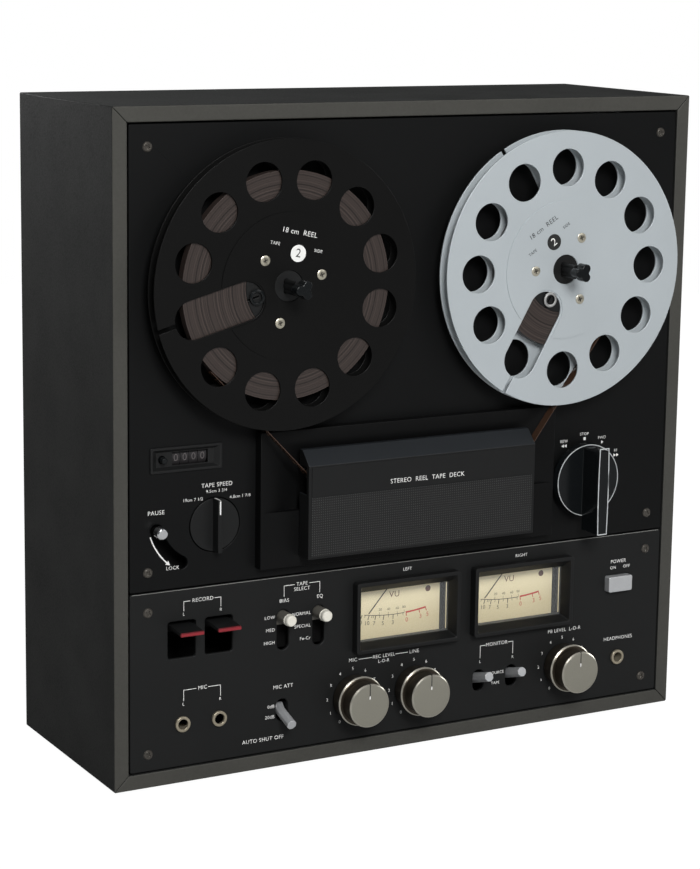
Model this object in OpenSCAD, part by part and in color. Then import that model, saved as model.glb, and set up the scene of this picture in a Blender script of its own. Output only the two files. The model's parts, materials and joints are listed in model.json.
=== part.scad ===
// Reel to reel tape deck: wooden case, two reels with threaded tape, transport and level controls.
// The front panel faces -Y, +X is to the right and +Z is up.
// The origin is at the middle of the overall box, on the surface the deck stands on.

/* [Case] */
// Overall width of the case
case_w = 415; // [413:1:430]
// Overall height of the case above its feet
case_h = 418; // [417:1:430]
// Depth of the case from its front edge to its back edge
case_d = 148; // [146:1:170]
// Thickness of the case boards
board_t = 9.5; // [8:0.5:10]
// Height of the feet under the case
foot_h = 4; // [3:0.5:8]
// Height of the buffers on the back
rear_foot_h = 8; // [6:1:15]
// Height of the line between the deck panel and the control panel
split_z = 124; // [123.5:0.5:125]
// Thickness of the front panels
panel_t = 2.5; // [2:0.25:3]

/* [Reels] */
// Distance of each reel's axis from the middle
reel_x = 100.2; // [99.5:0.1:101]
// Height of the reel axes above the case bottom
reel_z = 309.4; // [308:0.2:311]
// Radius of the reels
reel_r = 88.9; // [85:0.1:89]
// Thickness of a reel flange
flange_t = 1.2; // [0.8:0.1:1.5]
// Gap between the two flanges of a reel
flange_gap = 7.2; // [7:0.1:8]
// Distance from the panel to the back of the rear flange
reel_lift = 8.9; // [8:0.1:10]
// Radius of the finger holes in the flanges
finger_r = 12; // [9:0.5:13]
// Radius of the ring on which the finger holes lie
finger_ring_r = 65.5; // [63:0.5:67]
// Radius of the reel hubs
hub_r = 28; // [26:1:32]
// Outer radius of the tape wound on the supply reel
supply_pack_r = 70; // [45:1:80]
// Outer radius of the tape wound on the take-up reel
takeup_pack_r = 50.5; // [40:0.5:80]

/* [Transport] */
// Radius of the capstan shaft
capstan_r = 3; // [2.5:0.1:3.5]
// Radius of the flywheel
flywheel_r = 42; // [36:1:42]
// Radius of the motor pulley
pulley_r = 6; // [5:0.5:8]
// Radius of the pinch roller
roller_r = 9; // [8:0.5:9]
// How far the pinch roller stands off the tape at rest
roller_gap = 2; // [1.5:0.1:2.5]
// Front of the head cover, measured from the panel
cover_reach = 20; // [20:0.5:22]
// Depth of the function knob's bar in front of the panel
knob_reach = 26; // [20:1:28]

/* [Controls] */
// Outer radius of a level knob's rear ring
level_ring_r = 16.2; // [14:0.1:16.5]
// Radius of a level knob's front part
level_front_r = 14.2; // [12:0.1:14.5]
// Width of a level meter's bezel
meter_w = 77; // [74:0.5:80]
// Height of a level meter's bezel
meter_h = 46.8; // [44:0.2:48]
// Angle at which the meter needles rest, left of straight down
needle_rest = 41; // [30:1:42]
// Radius of the bore in each phone jack
jack_r = 3.25; // [3.2:0.01:3.3]

/* [Hidden] */
$fn = 72;

// Depths count from the case's front edge, positive to the rear
spindle_reach = 40;
deck_y = -(case_d + rear_foot_h - spindle_reach) / 2;
half_w = case_w / 2;
inner_w = half_w - board_t;
panel_gap = 1;
panel_y = 0.5;
panel_back = panel_y + panel_t;
panel_half_w = inner_w - panel_gap;
run_fit = 0.05;
moving_gap = 0.4;
touch_slip = 0.02;

// Chassis plate and the depths behind it
chassis_y = 14;
chassis_t = 1.6;
chassis_back = chassis_y + chassis_t;
chassis_half_w = 190;
chassis_low = 126;
screw_x = 185;
deck_screw_z = [136.3, 394];
control_screw_z = [21.2, 111.2];

// Back cover, its screws, the sunken terminal tray and the mains inlet
cover_y = [case_d - 4, case_d - 2];
rear_screw_x = 187;
rear_screw_z = [60, 209, 358];
tray = [-150, -40, 24, 84];
inlet_at = [110, 54];

// Reel depths, from the rear flange to the front flange
rear_flange_back = panel_y - reel_lift;
rear_flange_front = rear_flange_back - flange_t;
front_flange_back = rear_flange_front - flange_gap;
front_flange_front = front_flange_back - flange_t;
hub_eye_r = 9.5;
slot_start_r = 29.7;
slit_w = 2.6;
supply_slot_angle = 195;
takeup_slot_angle = 240;
rear_slot_turn = -120;
reel_shaft_r = 4;
spindle_core_r = 3.4;
spline_tip_r = 1.5;
lock_lobe_r = 2.9;
lock_lobe_offset = 3.2;
lock_back = -32.3;

// Tape plane and the path past the heads
tape_w = 6.3;
tape_t = 0.4;
tape_mid = front_flange_back + flange_gap / 2;
tape_front = tape_mid - tape_w / 2;
tape_back = tape_mid + tape_w / 2;
guide_r = 5;
guide_z = 190;
supply_guide_x = -76;
takeup_guide_x = 69;
run_top = guide_z - guide_r;
run_low = run_top - tape_t;
capstan_x = 44;
capstan_z = run_top + 0.35 + capstan_r;
roller_z = run_low - roller_gap - roller_r;
arm_pivot = [66, 160];
head_xs = [-36, -9, 18];

// Motor and belt
motor_x = -55;
motor_z = 200;
motor_r = 34;
flywheel_y = [60, 72];
belt_y = [64, 68];
belt_gap = 0.4;
belt_t = 1;

// Head cover and escutcheon outlines as [left, right, bottom, top]
cover = [-86, 79.5, 138, 206];
cover_face_top = 197;
cover_wall = 1.4;
escutcheon = [-112.5, 103.2, 131.5, 218];
escutcheon_front = -7;
head_well = [-84, 77.5, 140, 204];
dish_slope = [17, 21];
ledge_z = 167;

// Places of the controls as [x, z]
function_at = [130, 165.8];
speed_at = [-140.2, 162];
pause_at = [-145.4, 170.9];
pause_arm = 35;
pause_angle = 195;
counter_at = [-159.7, 205.2];
counter_size = [47.8, 15.7];
digit_window = [23.7, 8];
digit_x = -156.2;
digit_pitch = 5.9;
digit_w = 5.5;
digit_r = 7;
digit_y = 10.6;
reset_at = [-175, 205.2];
record_xs = [-162.2, -137];
record_z = 91.8;
record_window = [18.9, 23.5];
slide_xs = [-92.5, -67.2];
slide_slot = [76, 102];
slide_slot_w = 8.5;
slide_z = 97.6;
mic_attenuator_at = [-92.6, 36.8];
monitor_xs = [53.2, 78.7];
monitor_z = 36;
toggle_slot = [8.4, 14.4];
toggle_y = 7;
toggle_tilt = 17;
jack_places = [[-162, 37.8], [-137, 37.8], [164, 37.7]];
level_xs = [-41.8, 3.6, 119];
level_z = 38.5;
power_at = [162.5, 90];
power_size = [19, 10.6];
meter_xs = [-4.1, 84];
meter_z = 90.8;
meter_front = -6;
meter_window = [66, 33];
meter_window_drop = 1;
glass_y = [1, 2.2];
needle_up = 23.4;
needle_len = 33.5;
needle_y = [8.6, 9];

// Colours
black = [0.09, 0.095, 0.095];
dark = [0.16, 0.17, 0.17];
olive = [0.27, 0.27, 0.25];
silver = [0.72, 0.75, 0.76];
steel = [0.55, 0.56, 0.57];
brown = [0.2, 0.13, 0.09];

// Puts the deck, drawn from its front edge and case bottom, in the part's own frame
module placed() {
    translate([0, deck_y, foot_h]) children();
}

// Flat outline in the X-Z plane made into a plate between two depths
module slab(y0, y1) {
    translate([0, y1, 0]) rotate([90, 0, 0]) linear_extrude(y1 - y0) children();
}

// Round bar along Y
module rod(at, y0, y1, r) {
    translate([at[0], y1, at[1]]) rotate([90, 0, 0]) cylinder(h = y1 - y0, r = r);
}

// Round bar along Y that changes radius from front to back
module taper(at, y0, y1, front_r, back_r) {
    translate([at[0], y1, at[1]]) rotate([90, 0, 0]) cylinder(h = y1 - y0, r1 = back_r, r2 = front_r);
}

// Round bar along X
module cross_rod(x0, x1, y, z, r) {
    translate([x0, y, z]) rotate([0, 90, 0]) cylinder(h = x1 - x0, r = r);
}

// Block between two corners
module block(x, y, z) {
    translate([x[0], y[0], z[0]]) cube([x[1] - x[0], y[1] - y[0], z[1] - z[0]]);
}

// Rectangle with rounded corners, centred
module round_rect(size, r) {
    square([size[0] - 2 * r, size[1]], center = true);
    square([size[0], size[1] - 2 * r], center = true);
    for (sx = [-1, 1], sz = [-1, 1])
        translate([sx * (size[0] / 2 - r), sz * (size[1] / 2 - r)]) circle(r, $fn = 32);
}

// Thick line with round ends, its sides a hair inside the ends so that they cross instead of touch
module stadium(p, q, r) {
    d = q - p;
    half = r - touch_slip;
    translate(p) circle(r);
    translate(q) circle(r);
    translate(p) rotate(atan2(d[1], d[0])) translate([0, -half]) square([norm(d), 2 * half]);
}

// Rectangle from [left, right, bottom, top], grown by a margin
module frame_rect(f, grow = 0) {
    translate([f[0] - grow, f[2] - grow]) square([f[1] - f[0] + 2 * grow, f[3] - f[2] + 2 * grow]);
}

// ---- Case, panels and chassis ----

// One mitred case board of a given length, along X, its outer face down
module board(length) {
    mitre_gap = 0.05;
    h = length / 2 - mitre_gap;
    slab(0, case_d) polygon([[-h, 0], [h, 0], [h - board_t, board_t], [-h + board_t, board_t]]);
}

module wooden_case() {
    placed() color(dark) {
        board(case_w);
        translate([0, 0, case_h]) mirror([0, 0, 1]) board(case_w);
        for (s = [-1, 1])
            translate([s * half_w, 0, case_h / 2]) rotate([0, s * -90, 0]) board(case_h);
    }
}

module chassis_frame() {
    top = case_h - 14;
    placed() color(steel) difference() {
        union() {
            block([-chassis_half_w, chassis_half_w], [chassis_y, chassis_back], [chassis_low, top]);
            for (s = [-1, 1]) {
                block([s * chassis_half_w - 0.8, s * chassis_half_w + 0.8], [chassis_y, 142], [12, top]);
                block([s * 183 - 7, s * 183 + 7], [chassis_y, chassis_back], [12, chassis_low]);
                for (z = concat(deck_screw_z, control_screw_z))
                    rod([s * screw_x, z], panel_back, chassis_y, 4);
                rod([s * reel_x, reel_z], chassis_back, 40, 10);
                for (z = rear_screw_z)
                    block([s * 187 - 4, s * 187 + 4], [142, cover_y[0]], [z - 6, z + 6]);
            }
            rod([capstan_x, capstan_z], chassis_back, 44, 8);
            for (a = [100, 180, 260])
                rod([motor_x + 28 * cos(a), motor_z + 28 * sin(a)], chassis_back, 76, 3);
        }
        for (s = [-1, 1]) {
            rod([s * reel_x, reel_z], chassis_y - 1, 41, reel_shaft_r + run_fit);
            for (z = concat(deck_screw_z, control_screw_z))
                rod([s * screw_x, z], panel_back - 1, 11, 1.75);
            for (z = rear_screw_z) rod([s * rear_screw_x, z], 141, cover_y[0] + 1, 1.75);
        }
        rod([capstan_x, capstan_z], chassis_y - 1, 45, capstan_r + run_fit);
        block([-176, -134], [chassis_y - 1, chassis_back + 1], [190, 220]);
    }
}

// Ring sector between two angles, each less than half a turn apart
module ring_sector(r_in, r_out, a0, a1) {
    reach = 2 * r_out;
    intersection() {
        difference() {
            circle(r_out);
            circle(r_in);
        }
        polygon([[0, 0], reach * [cos(a0), sin(a0)], reach * [cos((a0 + a1) / 2), sin((a0 + a1) / 2)],
            reach * [cos(a1), sin(a1)]]);
    }
}

// Curved slot in which the pause lever travels
module pause_opening() {
    travel = 46;
    slot_r = 3.9;
    ring_sector(pause_arm - slot_r, pause_arm + slot_r, pause_angle, pause_angle + travel);
    for (a = [pause_angle, pause_angle + travel])
        translate([pause_arm * cos(a), pause_arm * sin(a)]) circle(slot_r + touch_slip);
}

module deck_panel() {
    low = split_z + 0.5;
    top = case_h - board_t - panel_gap;
    cup_r = 17.1;
    placed() color(black) {
        difference() {
            union() {
                slab(panel_y, panel_back) translate([0, (low + top) / 2])
                    round_rect([2 * panel_half_w, top - low], 1.5);
                rod(speed_at, panel_back, 7, cup_r + 2);
            }
            for (s = [-1, 1]) {
                rod([s * reel_x, reel_z], 0, panel_back + 1, 12);
                for (z = deck_screw_z) rod([s * screw_x, z], 0, panel_back + 1, 2);
            }
            rod(function_at, 0, panel_back + 1, 5 + run_fit);
            rod(speed_at, 0, 5, cup_r);
            rod(speed_at, 0, 8, 3 + run_fit);
            slab(0, panel_back + 1) {
                translate(pause_at) pause_opening();
                translate(counter_at) round_rect(counter_size - [2, 2], 0.5);
                frame_rect(head_well, 2);
            }
        }
        rod(pause_at, 6, 12, 2);
    }
}

module control_panel() {
    low = board_t + panel_gap;
    top = split_z - 0.5;
    placed() color(black) difference() {
        slab(panel_y, panel_back) translate([0, (low + top) / 2])
            round_rect([2 * panel_half_w, top - low], 1.5);
        slab(0, panel_back + 1) {
            for (x = record_xs) translate([x, record_z]) round_rect(record_window, 2);
            for (x = slide_xs)
                stadium([x, slide_slot[0] + slide_slot_w / 2], [x, slide_slot[1] - slide_slot_w / 2],
                    slide_slot_w / 2);
            translate(mic_attenuator_at) round_rect(toggle_slot, 4);
            for (x = monitor_xs) translate([x, monitor_z]) round_rect(toggle_slot, 4);
            for (x = meter_xs) translate([x, meter_z]) round_rect([meter_w - 5, meter_h - 5], 1);
            translate(power_at) round_rect(power_size + [0.8, 0.8], 1.6);
        }
        for (at = jack_places) rod(at, 0, panel_back + 1, 4.5);
        for (x = level_xs) rod([x, level_z], 0, panel_back + 1, 3.5 + run_fit);
        for (s = [-1, 1], z = control_screw_z) rod([s * screw_x, z], 0, panel_back + 1, 2);
    }
}

module back_cover() {
    placed() color(dark) difference() {
        slab(cover_y[0], cover_y[1]) difference() {
            translate([0, case_h / 2]) round_rect([2 * inner_w - 1, case_h - 2 * board_t - 1], 2);
            frame_rect(tray);
            translate(inlet_at) round_rect([26, 18], 2);
            for (x = [-132 : 24 : 132], z = [250, 310, 370]) stadium([x - 7, z], [x + 7, z], 2);
        }
        for (s = [-1, 1], z = rear_screw_z)
            rod([s * rear_screw_x, z], cover_y[0] - 1, cover_y[1] + 1, 2);
    }
}

// Sunken tray with six signal sockets, and the mains inlet beside it
module terminal_panel() {
    wall = 1.5;
    floor_y = 134;
    placed() color(black) {
        difference() {
            slab(floor_y, cover_y[0]) frame_rect(tray, wall);
            slab(floor_y + wall, cover_y[0] + 1) frame_rect(tray);
        }
        for (x = [-136, -112, -88], z = [42, 66]) difference() {
            union() {
                rod([x, z], floor_y + wall, floor_y + wall + 2, 6);
                rod([x, z], floor_y + wall + 2, cover_y[1], 4.15);
            }
            rod([x, z], floor_y + wall + 3, cover_y[1] + 1, 1.6);
        }
        difference() {
            slab(cover_y[1] - 20, cover_y[1]) translate(inlet_at) round_rect([26, 18], 2);
            slab(cover_y[1] - 17, cover_y[1] + 1) translate(inlet_at) round_rect([22.4, 14.4], 1);
        }
        for (s = [-1, 1]) rod(inlet_at + [s * 4.3, 3], cover_y[1] - 17, cover_y[1] - 4, 1.2);
    }
}

module rubber_feet() {
    placed() color(black) {
        for (x = [-170, 170], y = [28, 120]) translate([x, y, -foot_h]) cylinder(h = foot_h, r = 11);
        for (x = [-170, 170], z = [36, 382])
            taper([x, z], cover_y[1], case_d + rear_foot_h, 11, 9);
    }
}

// Panel screw with a raised head and a cross recess
module screw(at) {
    head_r = 3.25;
    difference() {
        union() {
            taper(at, panel_y - 0.9, panel_y, head_r - 0.7, head_r);
            rod(at, panel_y, 10.5, 1.75);
        }
        for (a = [0, 90]) translate([at[0], panel_y - 0.6, at[1]]) rotate([0, a + 25, 0])
            cube([3.4, 0.9, 0.8], center = true);
    }
}

module panel_screws() {
    placed() color(steel) {
        for (x = [-screw_x, screw_x], z = concat(deck_screw_z, control_screw_z)) screw([x, z]);
        for (x = [-rear_screw_x, rear_screw_x], z = rear_screw_z)
            translate([x, cover_y[1] + panel_y, z]) rotate([0, 0, 180]) screw([0, 0]);
    }
}

// ---- Tape path ----

module tape_path_escutcheon() {
    e = escutcheon;
    rim = 1.5;
    placed() color(black) difference() {
        slab(escutcheon_front, panel_y) frame_rect(e);
        hull() {
            slab(escutcheon_front - 0.1, escutcheon_front)
                frame_rect([e[0] + rim, e[1] - rim, ledge_z, e[3] - rim]);
            slab(-2.1, -2)
                frame_rect([e[0] + dish_slope[0], e[1] - dish_slope[0], ledge_z, e[3] - dish_slope[1]]);
        }
        slab(escutcheon_front - 1, panel_y + 1) frame_rect(head_well);
    }
}

// Side profile of the head cover, upright front face with a bevel above it
module cover_profile(inset) {
    front = -cover_reach + inset;
    bevel = cover[3] - cover_face_top;
    low = cover[2] + inset;
    back = escutcheon_front - moving_gap;
    polygon([[back + inset, low], [front, low], [front, cover_face_top - 0.4 * inset],
        [front + bevel, cover[3] - inset], [back + inset, cover[3] - inset]]);
}

module cover_solid(inset) {
    translate([cover[0] + inset, 0, 0]) rotate([90, 0, 90])
        linear_extrude(cover[1] - cover[0] - 2 * inset) cover_profile(inset);
}

module head_cover() {
    slot_z = [run_low - 6, cover_face_top - 1];
    placed() color(black) {
        difference() {
            cover_solid(0);
            cover_solid(cover_wall);
            block([cover[0] + cover_wall, cover[1] - cover_wall],
                [escutcheon_front - cover_wall - 2, 0], [cover[2] + cover_wall, cover[3] - cover_wall]);
            for (x = [cover[0], cover[1]])
                block([x - cover_wall, x + cover_wall], [tape_front - 0.6, 0], slot_z);
        }
    }
}

module head_base() {
    placed() color(steel) difference() {
        union() {
            slab(panel_y, 6) frame_rect(head_well, -0.5);
            for (x = [-78, 71]) rod([x, 148], 6, chassis_y, 4);
            rod(arm_pivot, -10.5, panel_y, 2);
        }
        rod([capstan_x, capstan_z], 0, 7, 5);
    }
}

module tape_heads() {
    head = [13, 15];
    placed() color(silver) for (x = head_xs) {
        slab(tape_front - 1.2, tape_back + 1.2)
            translate([x, run_low - head[1] / 2]) round_rect(head, 3);
        block([x - 5, x + 5], [tape_back + 1.2, panel_y], [run_low - head[1] + 1, run_low - 3]);
    }
}

module tape_guides() {
    placed() color(silver) for (x = [supply_guide_x, takeup_guide_x]) {
        at = [x, guide_z];
        rod(at, tape_front - 1.5, tape_front - 0.3, guide_r + 1.5);
        rod(at, tape_front - 0.3, tape_back + 0.3, guide_r);
        rod(at, tape_back + 0.3, tape_back + 1.5, guide_r + 1.5);
        rod(at, tape_back + 1.5, panel_y, 3);
    }
}

// Point where a line from circle c (radius r) to circle p (radius q) leaves circle c, on the given side
function run_angle(c, r, p, q, side) = atan2(p[1] - c[1], p[0] - c[0]) + side * acos((r - q) / norm(p - c));
function on_circle(c, r, a) = c + r * [cos(a), sin(a)];

// Straight run of tape from a guide up to a tape pack
module tape_run(guide, pack, pack_r, side) {
    mid_r = guide_r + tape_t / 2;
    pack_mid_r = pack_r + 0.45 + tape_t / 2;
    a = run_angle(guide, mid_r, pack, pack_mid_r, side);
    p = on_circle(guide, mid_r, a);
    q = on_circle(pack, pack_mid_r, a);
    d = q - p;
    overlap = 0.3;
    translate(p) rotate(atan2(d[1], d[0])) translate([-overlap, -tape_t / 2])
        square([norm(d) + overlap, tape_t]);
}

function tape_wrap(guide, pack, pack_r, side) =
    run_angle(guide, guide_r + tape_t / 2, pack, pack_r + 0.45 + tape_t / 2, side);

module threaded_tape() {
    left = [supply_guide_x, guide_z];
    right = [takeup_guide_x, guide_z];
    supply = [-reel_x, reel_z];
    takeup = [reel_x, reel_z];
    left_a = tape_wrap(left, supply, supply_pack_r, 1);
    right_a = tape_wrap(right, takeup, takeup_pack_r, -1);
    placed() color(brown) slab(tape_front, tape_back) {
        tape_run(left, supply, supply_pack_r, 1);
        tape_run(right, takeup, takeup_pack_r, -1);
        translate(left) ring_sector(guide_r, guide_r + tape_t, left_a, 270);
        translate(right) ring_sector(guide_r, guide_r + tape_t, -90, right_a);
        translate([left[0] - 0.3, run_low]) square([right[0] - left[0] + 0.6, tape_t]);
    }
}

// ---- Reels ----

module flange_outline(slot_angle) {
    difference() {
        circle(reel_r, $fn = 144);
        circle(hub_eye_r);
        for (k = [1 : 11]) rotate(slot_angle + 30 * k) translate([finger_ring_r, 0]) circle(finger_r);
        rotate(slot_angle) {
            stadium([slot_start_r, 0], [finger_ring_r, 0], finger_r);
            translate([finger_ring_r, -slit_w / 2]) square([reel_r, slit_w]);
        }
    }
}

module front_flange(x, slot_angle) {
    translate([x, 0, reel_z]) slab(front_flange_front, front_flange_back) flange_outline(slot_angle);
}

module rear_flange(x, slot_angle) {
    translate([x, 0, reel_z]) slab(rear_flange_front, rear_flange_back)
        flange_outline(slot_angle + rear_slot_turn);
}

module spline_star(grow) {
    circle(spindle_core_r + grow);
    for (a = [0, 120, 240]) rotate(a) stadium([0, 0], [spindle_core_r, 0], spline_tip_r + grow);
}

module hub(x, slot_angle) {
    notch = [0.9, 8];
    translate([x, 0, reel_z]) {
        slab(front_flange_back, rear_flange_front) difference() {
            circle(hub_r);
            rotate(slot_angle) translate([hub_r - notch[1], -notch[0] / 2]) square([notch[1] + 1, notch[0]]);
            spline_star(0.1);
        }
        for (y = [front_flange_front, rear_flange_front]) slab(y, y + flange_t) difference() {
            circle(hub_eye_r - 0.02);
            spline_star(0.1);
        }
    }
}

module tape_pack(x, r) {
    translate([x, 0, reel_z]) slab(tape_front, tape_back) difference() {
        circle(r, $fn = 144);
        circle(hub_r);
    }
}

module turntable(x) {
    table_r = 30;
    table_t = 4;
    drum = [44, 54];
    at = [x, reel_z];
    rod(at, rear_flange_back, rear_flange_back + table_t, table_r);
    translate([x, 0, reel_z]) slab(lock_back + 0.3, rear_flange_back) spline_star(0);
    rod(at, lock_back - 4.5, lock_back + 0.3, 1.8);
    rod(at, rear_flange_back + table_t, drum[1], reel_shaft_r);
    rod(at, drum[0], drum[1], 30);
}

// Tip of the spindle, turned between the splines to hold the reel
module reel_lock(x) {
    translate([x, 0, reel_z]) difference() {
        slab(-spindle_reach, lock_back) for (a = [60, 180, 300]) rotate(a)
            stadium([0, 0], [lock_lobe_offset, 0], lock_lobe_r);
        rod([0, 0], lock_back - 4.8, lock_back + 1, 1.8 + run_fit);
    }
}

module supply_front_flange() {
    placed() color(black) front_flange(-reel_x, supply_slot_angle);
}

module supply_rear_flange() {
    placed() color(black) rear_flange(-reel_x, supply_slot_angle);
}

module supply_hub() {
    placed() color(black) hub(-reel_x, supply_slot_angle);
}

module supply_tape_pack() {
    placed() color(brown) tape_pack(-reel_x, supply_pack_r);
}

module supply_turntable() {
    placed() color(dark) turntable(-reel_x);
}

module supply_reel_lock() {
    placed() color(black) reel_lock(-reel_x);
}

module takeup_front_flange() {
    placed() color(silver) front_flange(reel_x, takeup_slot_angle);
}

module takeup_rear_flange() {
    placed() color(silver) rear_flange(reel_x, takeup_slot_angle);
}

module takeup_hub() {
    placed() color(black) hub(reel_x, takeup_slot_angle);
}

module takeup_tape_pack() {
    placed() color(brown) tape_pack(reel_x, takeup_pack_r);
}

module takeup_turntable() {
    placed() color(dark) turntable(reel_x);
}

module takeup_reel_lock() {
    placed() color(black) reel_lock(reel_x);
}

// ---- Drive ----

module motor() {
    at = [motor_x, motor_z];
    placed() color(steel) difference() {
        union() {
            rod(at, 76, 128, motor_r);
            rod(at, 74, 76, 8);
        }
        rod(at, 73, 110, 2 + run_fit);
    }
}

module motor_pulley() {
    at = [motor_x, motor_z];
    placed() color(steel) {
        rod(at, flywheel_y[0], 108, 2);
        rod(at, flywheel_y[0], flywheel_y[1], pulley_r);
        for (y = [flywheel_y[0], flywheel_y[1] - 2]) rod(at, y, y + 2, pulley_r + 2.5);
    }
}

// Outline round two circles, a belt's inner or outer edge
module belt_outline(grow) {
    a = [motor_x, motor_z];
    b = [capstan_x, capstan_z];
    ra = pulley_r + belt_gap + grow;
    rb = flywheel_r + belt_gap + grow;
    heading = atan2(b[1] - a[1], b[0] - a[0]);
    lean = acos((ra - rb) / norm(b - a));
    translate(a) circle(ra);
    translate(b) circle(rb);
    polygon([on_circle(a, ra, heading + lean), on_circle(b, rb, heading + lean),
        on_circle(b, rb, heading - lean), on_circle(a, ra, heading - lean)]);
}

module drive_belt() {
    placed() color(black) slab(belt_y[0], belt_y[1]) difference() {
        belt_outline(belt_t);
        belt_outline(0);
    }
}

module capstan_flywheel() {
    at = [capstan_x, capstan_z];
    placed() color(steel) {
        rod(at, tape_front - 1.5, flywheel_y[0], capstan_r);
        difference() {
            rod(at, flywheel_y[0], flywheel_y[1], flywheel_r);
            difference() {
                rod(at, flywheel_y[0] + 5, flywheel_y[1] + 1, flywheel_r - 8);
                rod(at, flywheel_y[0], flywheel_y[1] + 2, 9);
            }
        }
    }
}

module pinch_arm() {
    roller = [capstan_x, roller_z];
    placed() color(steel) {
        difference() {
            slab(tape_back + 2, tape_back + 4) {
                stadium(arm_pivot, roller, 5);
            }
            rod(arm_pivot, -20, 0, 2 + run_fit);
        }
        rod(roller, tape_front - 1.5, tape_back + 3, 2);
    }
}

module pinch_roller() {
    roller = [capstan_x, roller_z];
    placed() color(black) difference() {
        rod(roller, tape_front - 1, tape_back + 1, roller_r);
        rod(roller, tape_front - 2, tape_back + 2, 2 + run_fit);
    }
}

// ---- Transport controls ----

module function_knob() {
    disc_r = 24.8;
    bar_w = 8.4;
    bar_low = -33.5;
    bar_top = 22.8;
    placed() color(black) translate([function_at[0], 0, function_at[1]]) {
        taper([0, 0], -8, -3, disc_r - 1.2, disc_r);
        rod([0, 0], -3, panel_y - moving_gap, 20);
        rod([0, 0], -3, 12, 5);
        rod([0, 0], panel_back + 1, panel_back + 5, 14);
        slab(-knob_reach, -8) translate([0, (bar_low + bar_top) / 2])
            round_rect([bar_w, bar_top - bar_low], 1);
    }
}

module speed_knob() {
    disc_r = 16.6;
    placed() color(black) translate([speed_at[0], 0, speed_at[1]]) {
        rod([0, 0], 0.2, 4.6, disc_r);
        rod([0, 0], 4.6, 9, 3);
        slab(-7.5, 0.2) intersection() {
            round_rect([3, 2 * disc_r], 0.5);
            circle(disc_r);
        }
    }
}

module pause_lever() {
    knob = pause_arm * [cos(pause_angle), sin(pause_angle)];
    placed() color(silver) translate([pause_at[0], 0, pause_at[1]]) {
        difference() {
            slab(8, 10) {
                stadium([0, 0], knob, 3.2);
                circle(5.5);
            }
            rod([0, 0], 7, 11, 2 + run_fit);
        }
        rod(knob, -6, 8, 2);
        rod(knob, -8.5, -3, 3.7);
        taper(knob, -9.3, -8.5, 2.9, 3.7);
    }
}

module counter_frame() {
    placed() color(black) {
        difference() {
            union() {
                slab(-0.6, panel_y) translate(counter_at) round_rect(counter_size, 0.6);
                slab(0, panel_back) translate(counter_at) round_rect(counter_size - [2.4, 2.4], 0.5);
            }
            hull() {
                slab(-0.7, -0.6) translate(counter_at) square(counter_size - [3, 3], center = true);
                slab(1.9, 2) translate(counter_at) square(counter_size - [9.5, 6.5], center = true);
            }
            slab(-1, panel_back + 1) translate([digit_x, counter_at[1]]) square(digit_window, center = true);
            rod(reset_at, -1, panel_back + 1, 2.4);
        }
        for (x = [digit_x - 14, digit_x + 12.6])
            block([x, x + 1.4], [panel_back, digit_y + 3], [counter_at[1] - 6, counter_at[1] + 6]);
        cross_rod(digit_x - 14, digit_x + 14, digit_y, counter_at[1], 1);
        difference() {
            rod(reset_at, panel_back, 14, 4);
            rod(reset_at, panel_back - 1, 13, 2.4);
        }
    }
}

module digit_wheel(place) {
    x = digit_x + (place - 1.5) * digit_pitch - digit_w / 2;
    difference() {
        cross_rod(x, x + digit_w, digit_y, counter_at[1], digit_r);
        cross_rod(x - 1, x + digit_w + 1, digit_y, counter_at[1], 1 + run_fit);
    }
}

module counter_wheels() {
    placed() color(black) for (place = [0 : 2]) digit_wheel(place);
}

module counter_units_wheel() {
    placed() color(black) digit_wheel(3);
}

module counter_reset_button() {
    placed() color(black) {
        rod(reset_at, -2, 8, 2);
        taper(reset_at, -2.6, -2, 1.5, 2);
    }
}

// ---- Switches ----

// Blade pressed down at its front edge to set a channel to record
module record_lever(x) {
    w = 15.6;
    pivot = [15, 97];
    placed() color(black) {
        difference() {
            translate([x - w / 2, 0, 0]) rotate([90, 0, 90]) linear_extrude(w)
                polygon([[-15, 98], [-15, 100.1], [0, 101.4], [12, 100.5], [18, 98.5], [18, 94],
                    [12, 94], [6, 97], [0, 98.8]]);
            cross_rod(x - w, x + w, pivot[0], pivot[1], 1.2 + run_fit);
        }
    }
}

module record_lever_left() {
    record_lever(record_xs[0]);
}

module record_lever_right() {
    record_lever(record_xs[1]);
}

// Three-position slide with a faceted cap on a round collar
module slide_lever(x) {
    placed() color(silver) {
        rod([x, slide_z], -8, 4, 3.9);
        rod([x, slide_z], -11.2, -8, 3.6);
        taper([x, slide_z], -12, -11.2, 3, 3.6);
        block([x - 8, x + 8], [4, 6], [slide_z - 6, slide_z + 6]);
    }
}

module bias_lever() {
    slide_lever(slide_xs[0]);
}

module eq_lever() {
    slide_lever(slide_xs[1]);
}

// Two-position lever that rocks on a cross pin; tilt is positive with its tip up
module toggle(at, tilt) {
    w = 6.2;
    placed() color(silver) translate([at[0], toggle_y, at[1]]) rotate([-tilt, 0, 0]) difference() {
        union() {
            slab(-21, 0) rotate(22.5) circle(3.3, $fn = 8);
            cross_rod(-w / 2, w / 2, 0, 0, 3.2);
        }
        cross_rod(-w, w, 0, 0, 1 + run_fit);
    }
}

module mic_attenuator_lever() {
    toggle(mic_attenuator_at, -toggle_tilt);
}

module monitor_lever_left() {
    toggle([monitor_xs[0], monitor_z], toggle_tilt);
}

module monitor_lever_right() {
    toggle([monitor_xs[1], monitor_z], toggle_tilt);
}

// ---- Level knobs ----

module outer_knob(x) {
    placed() color(olive) translate([x, 0, level_z]) difference() {
        union() {
            taper([0, 0], -11, -0.4, level_ring_r, level_ring_r - 1.4);
            taper([0, 0], -12, -11, level_ring_r - 1.4, level_ring_r);
            rod([0, 0], -1, 11, 3.5);
        }
        rod([0, 0], -13, 12, 2 + run_fit);
    }
}

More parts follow.
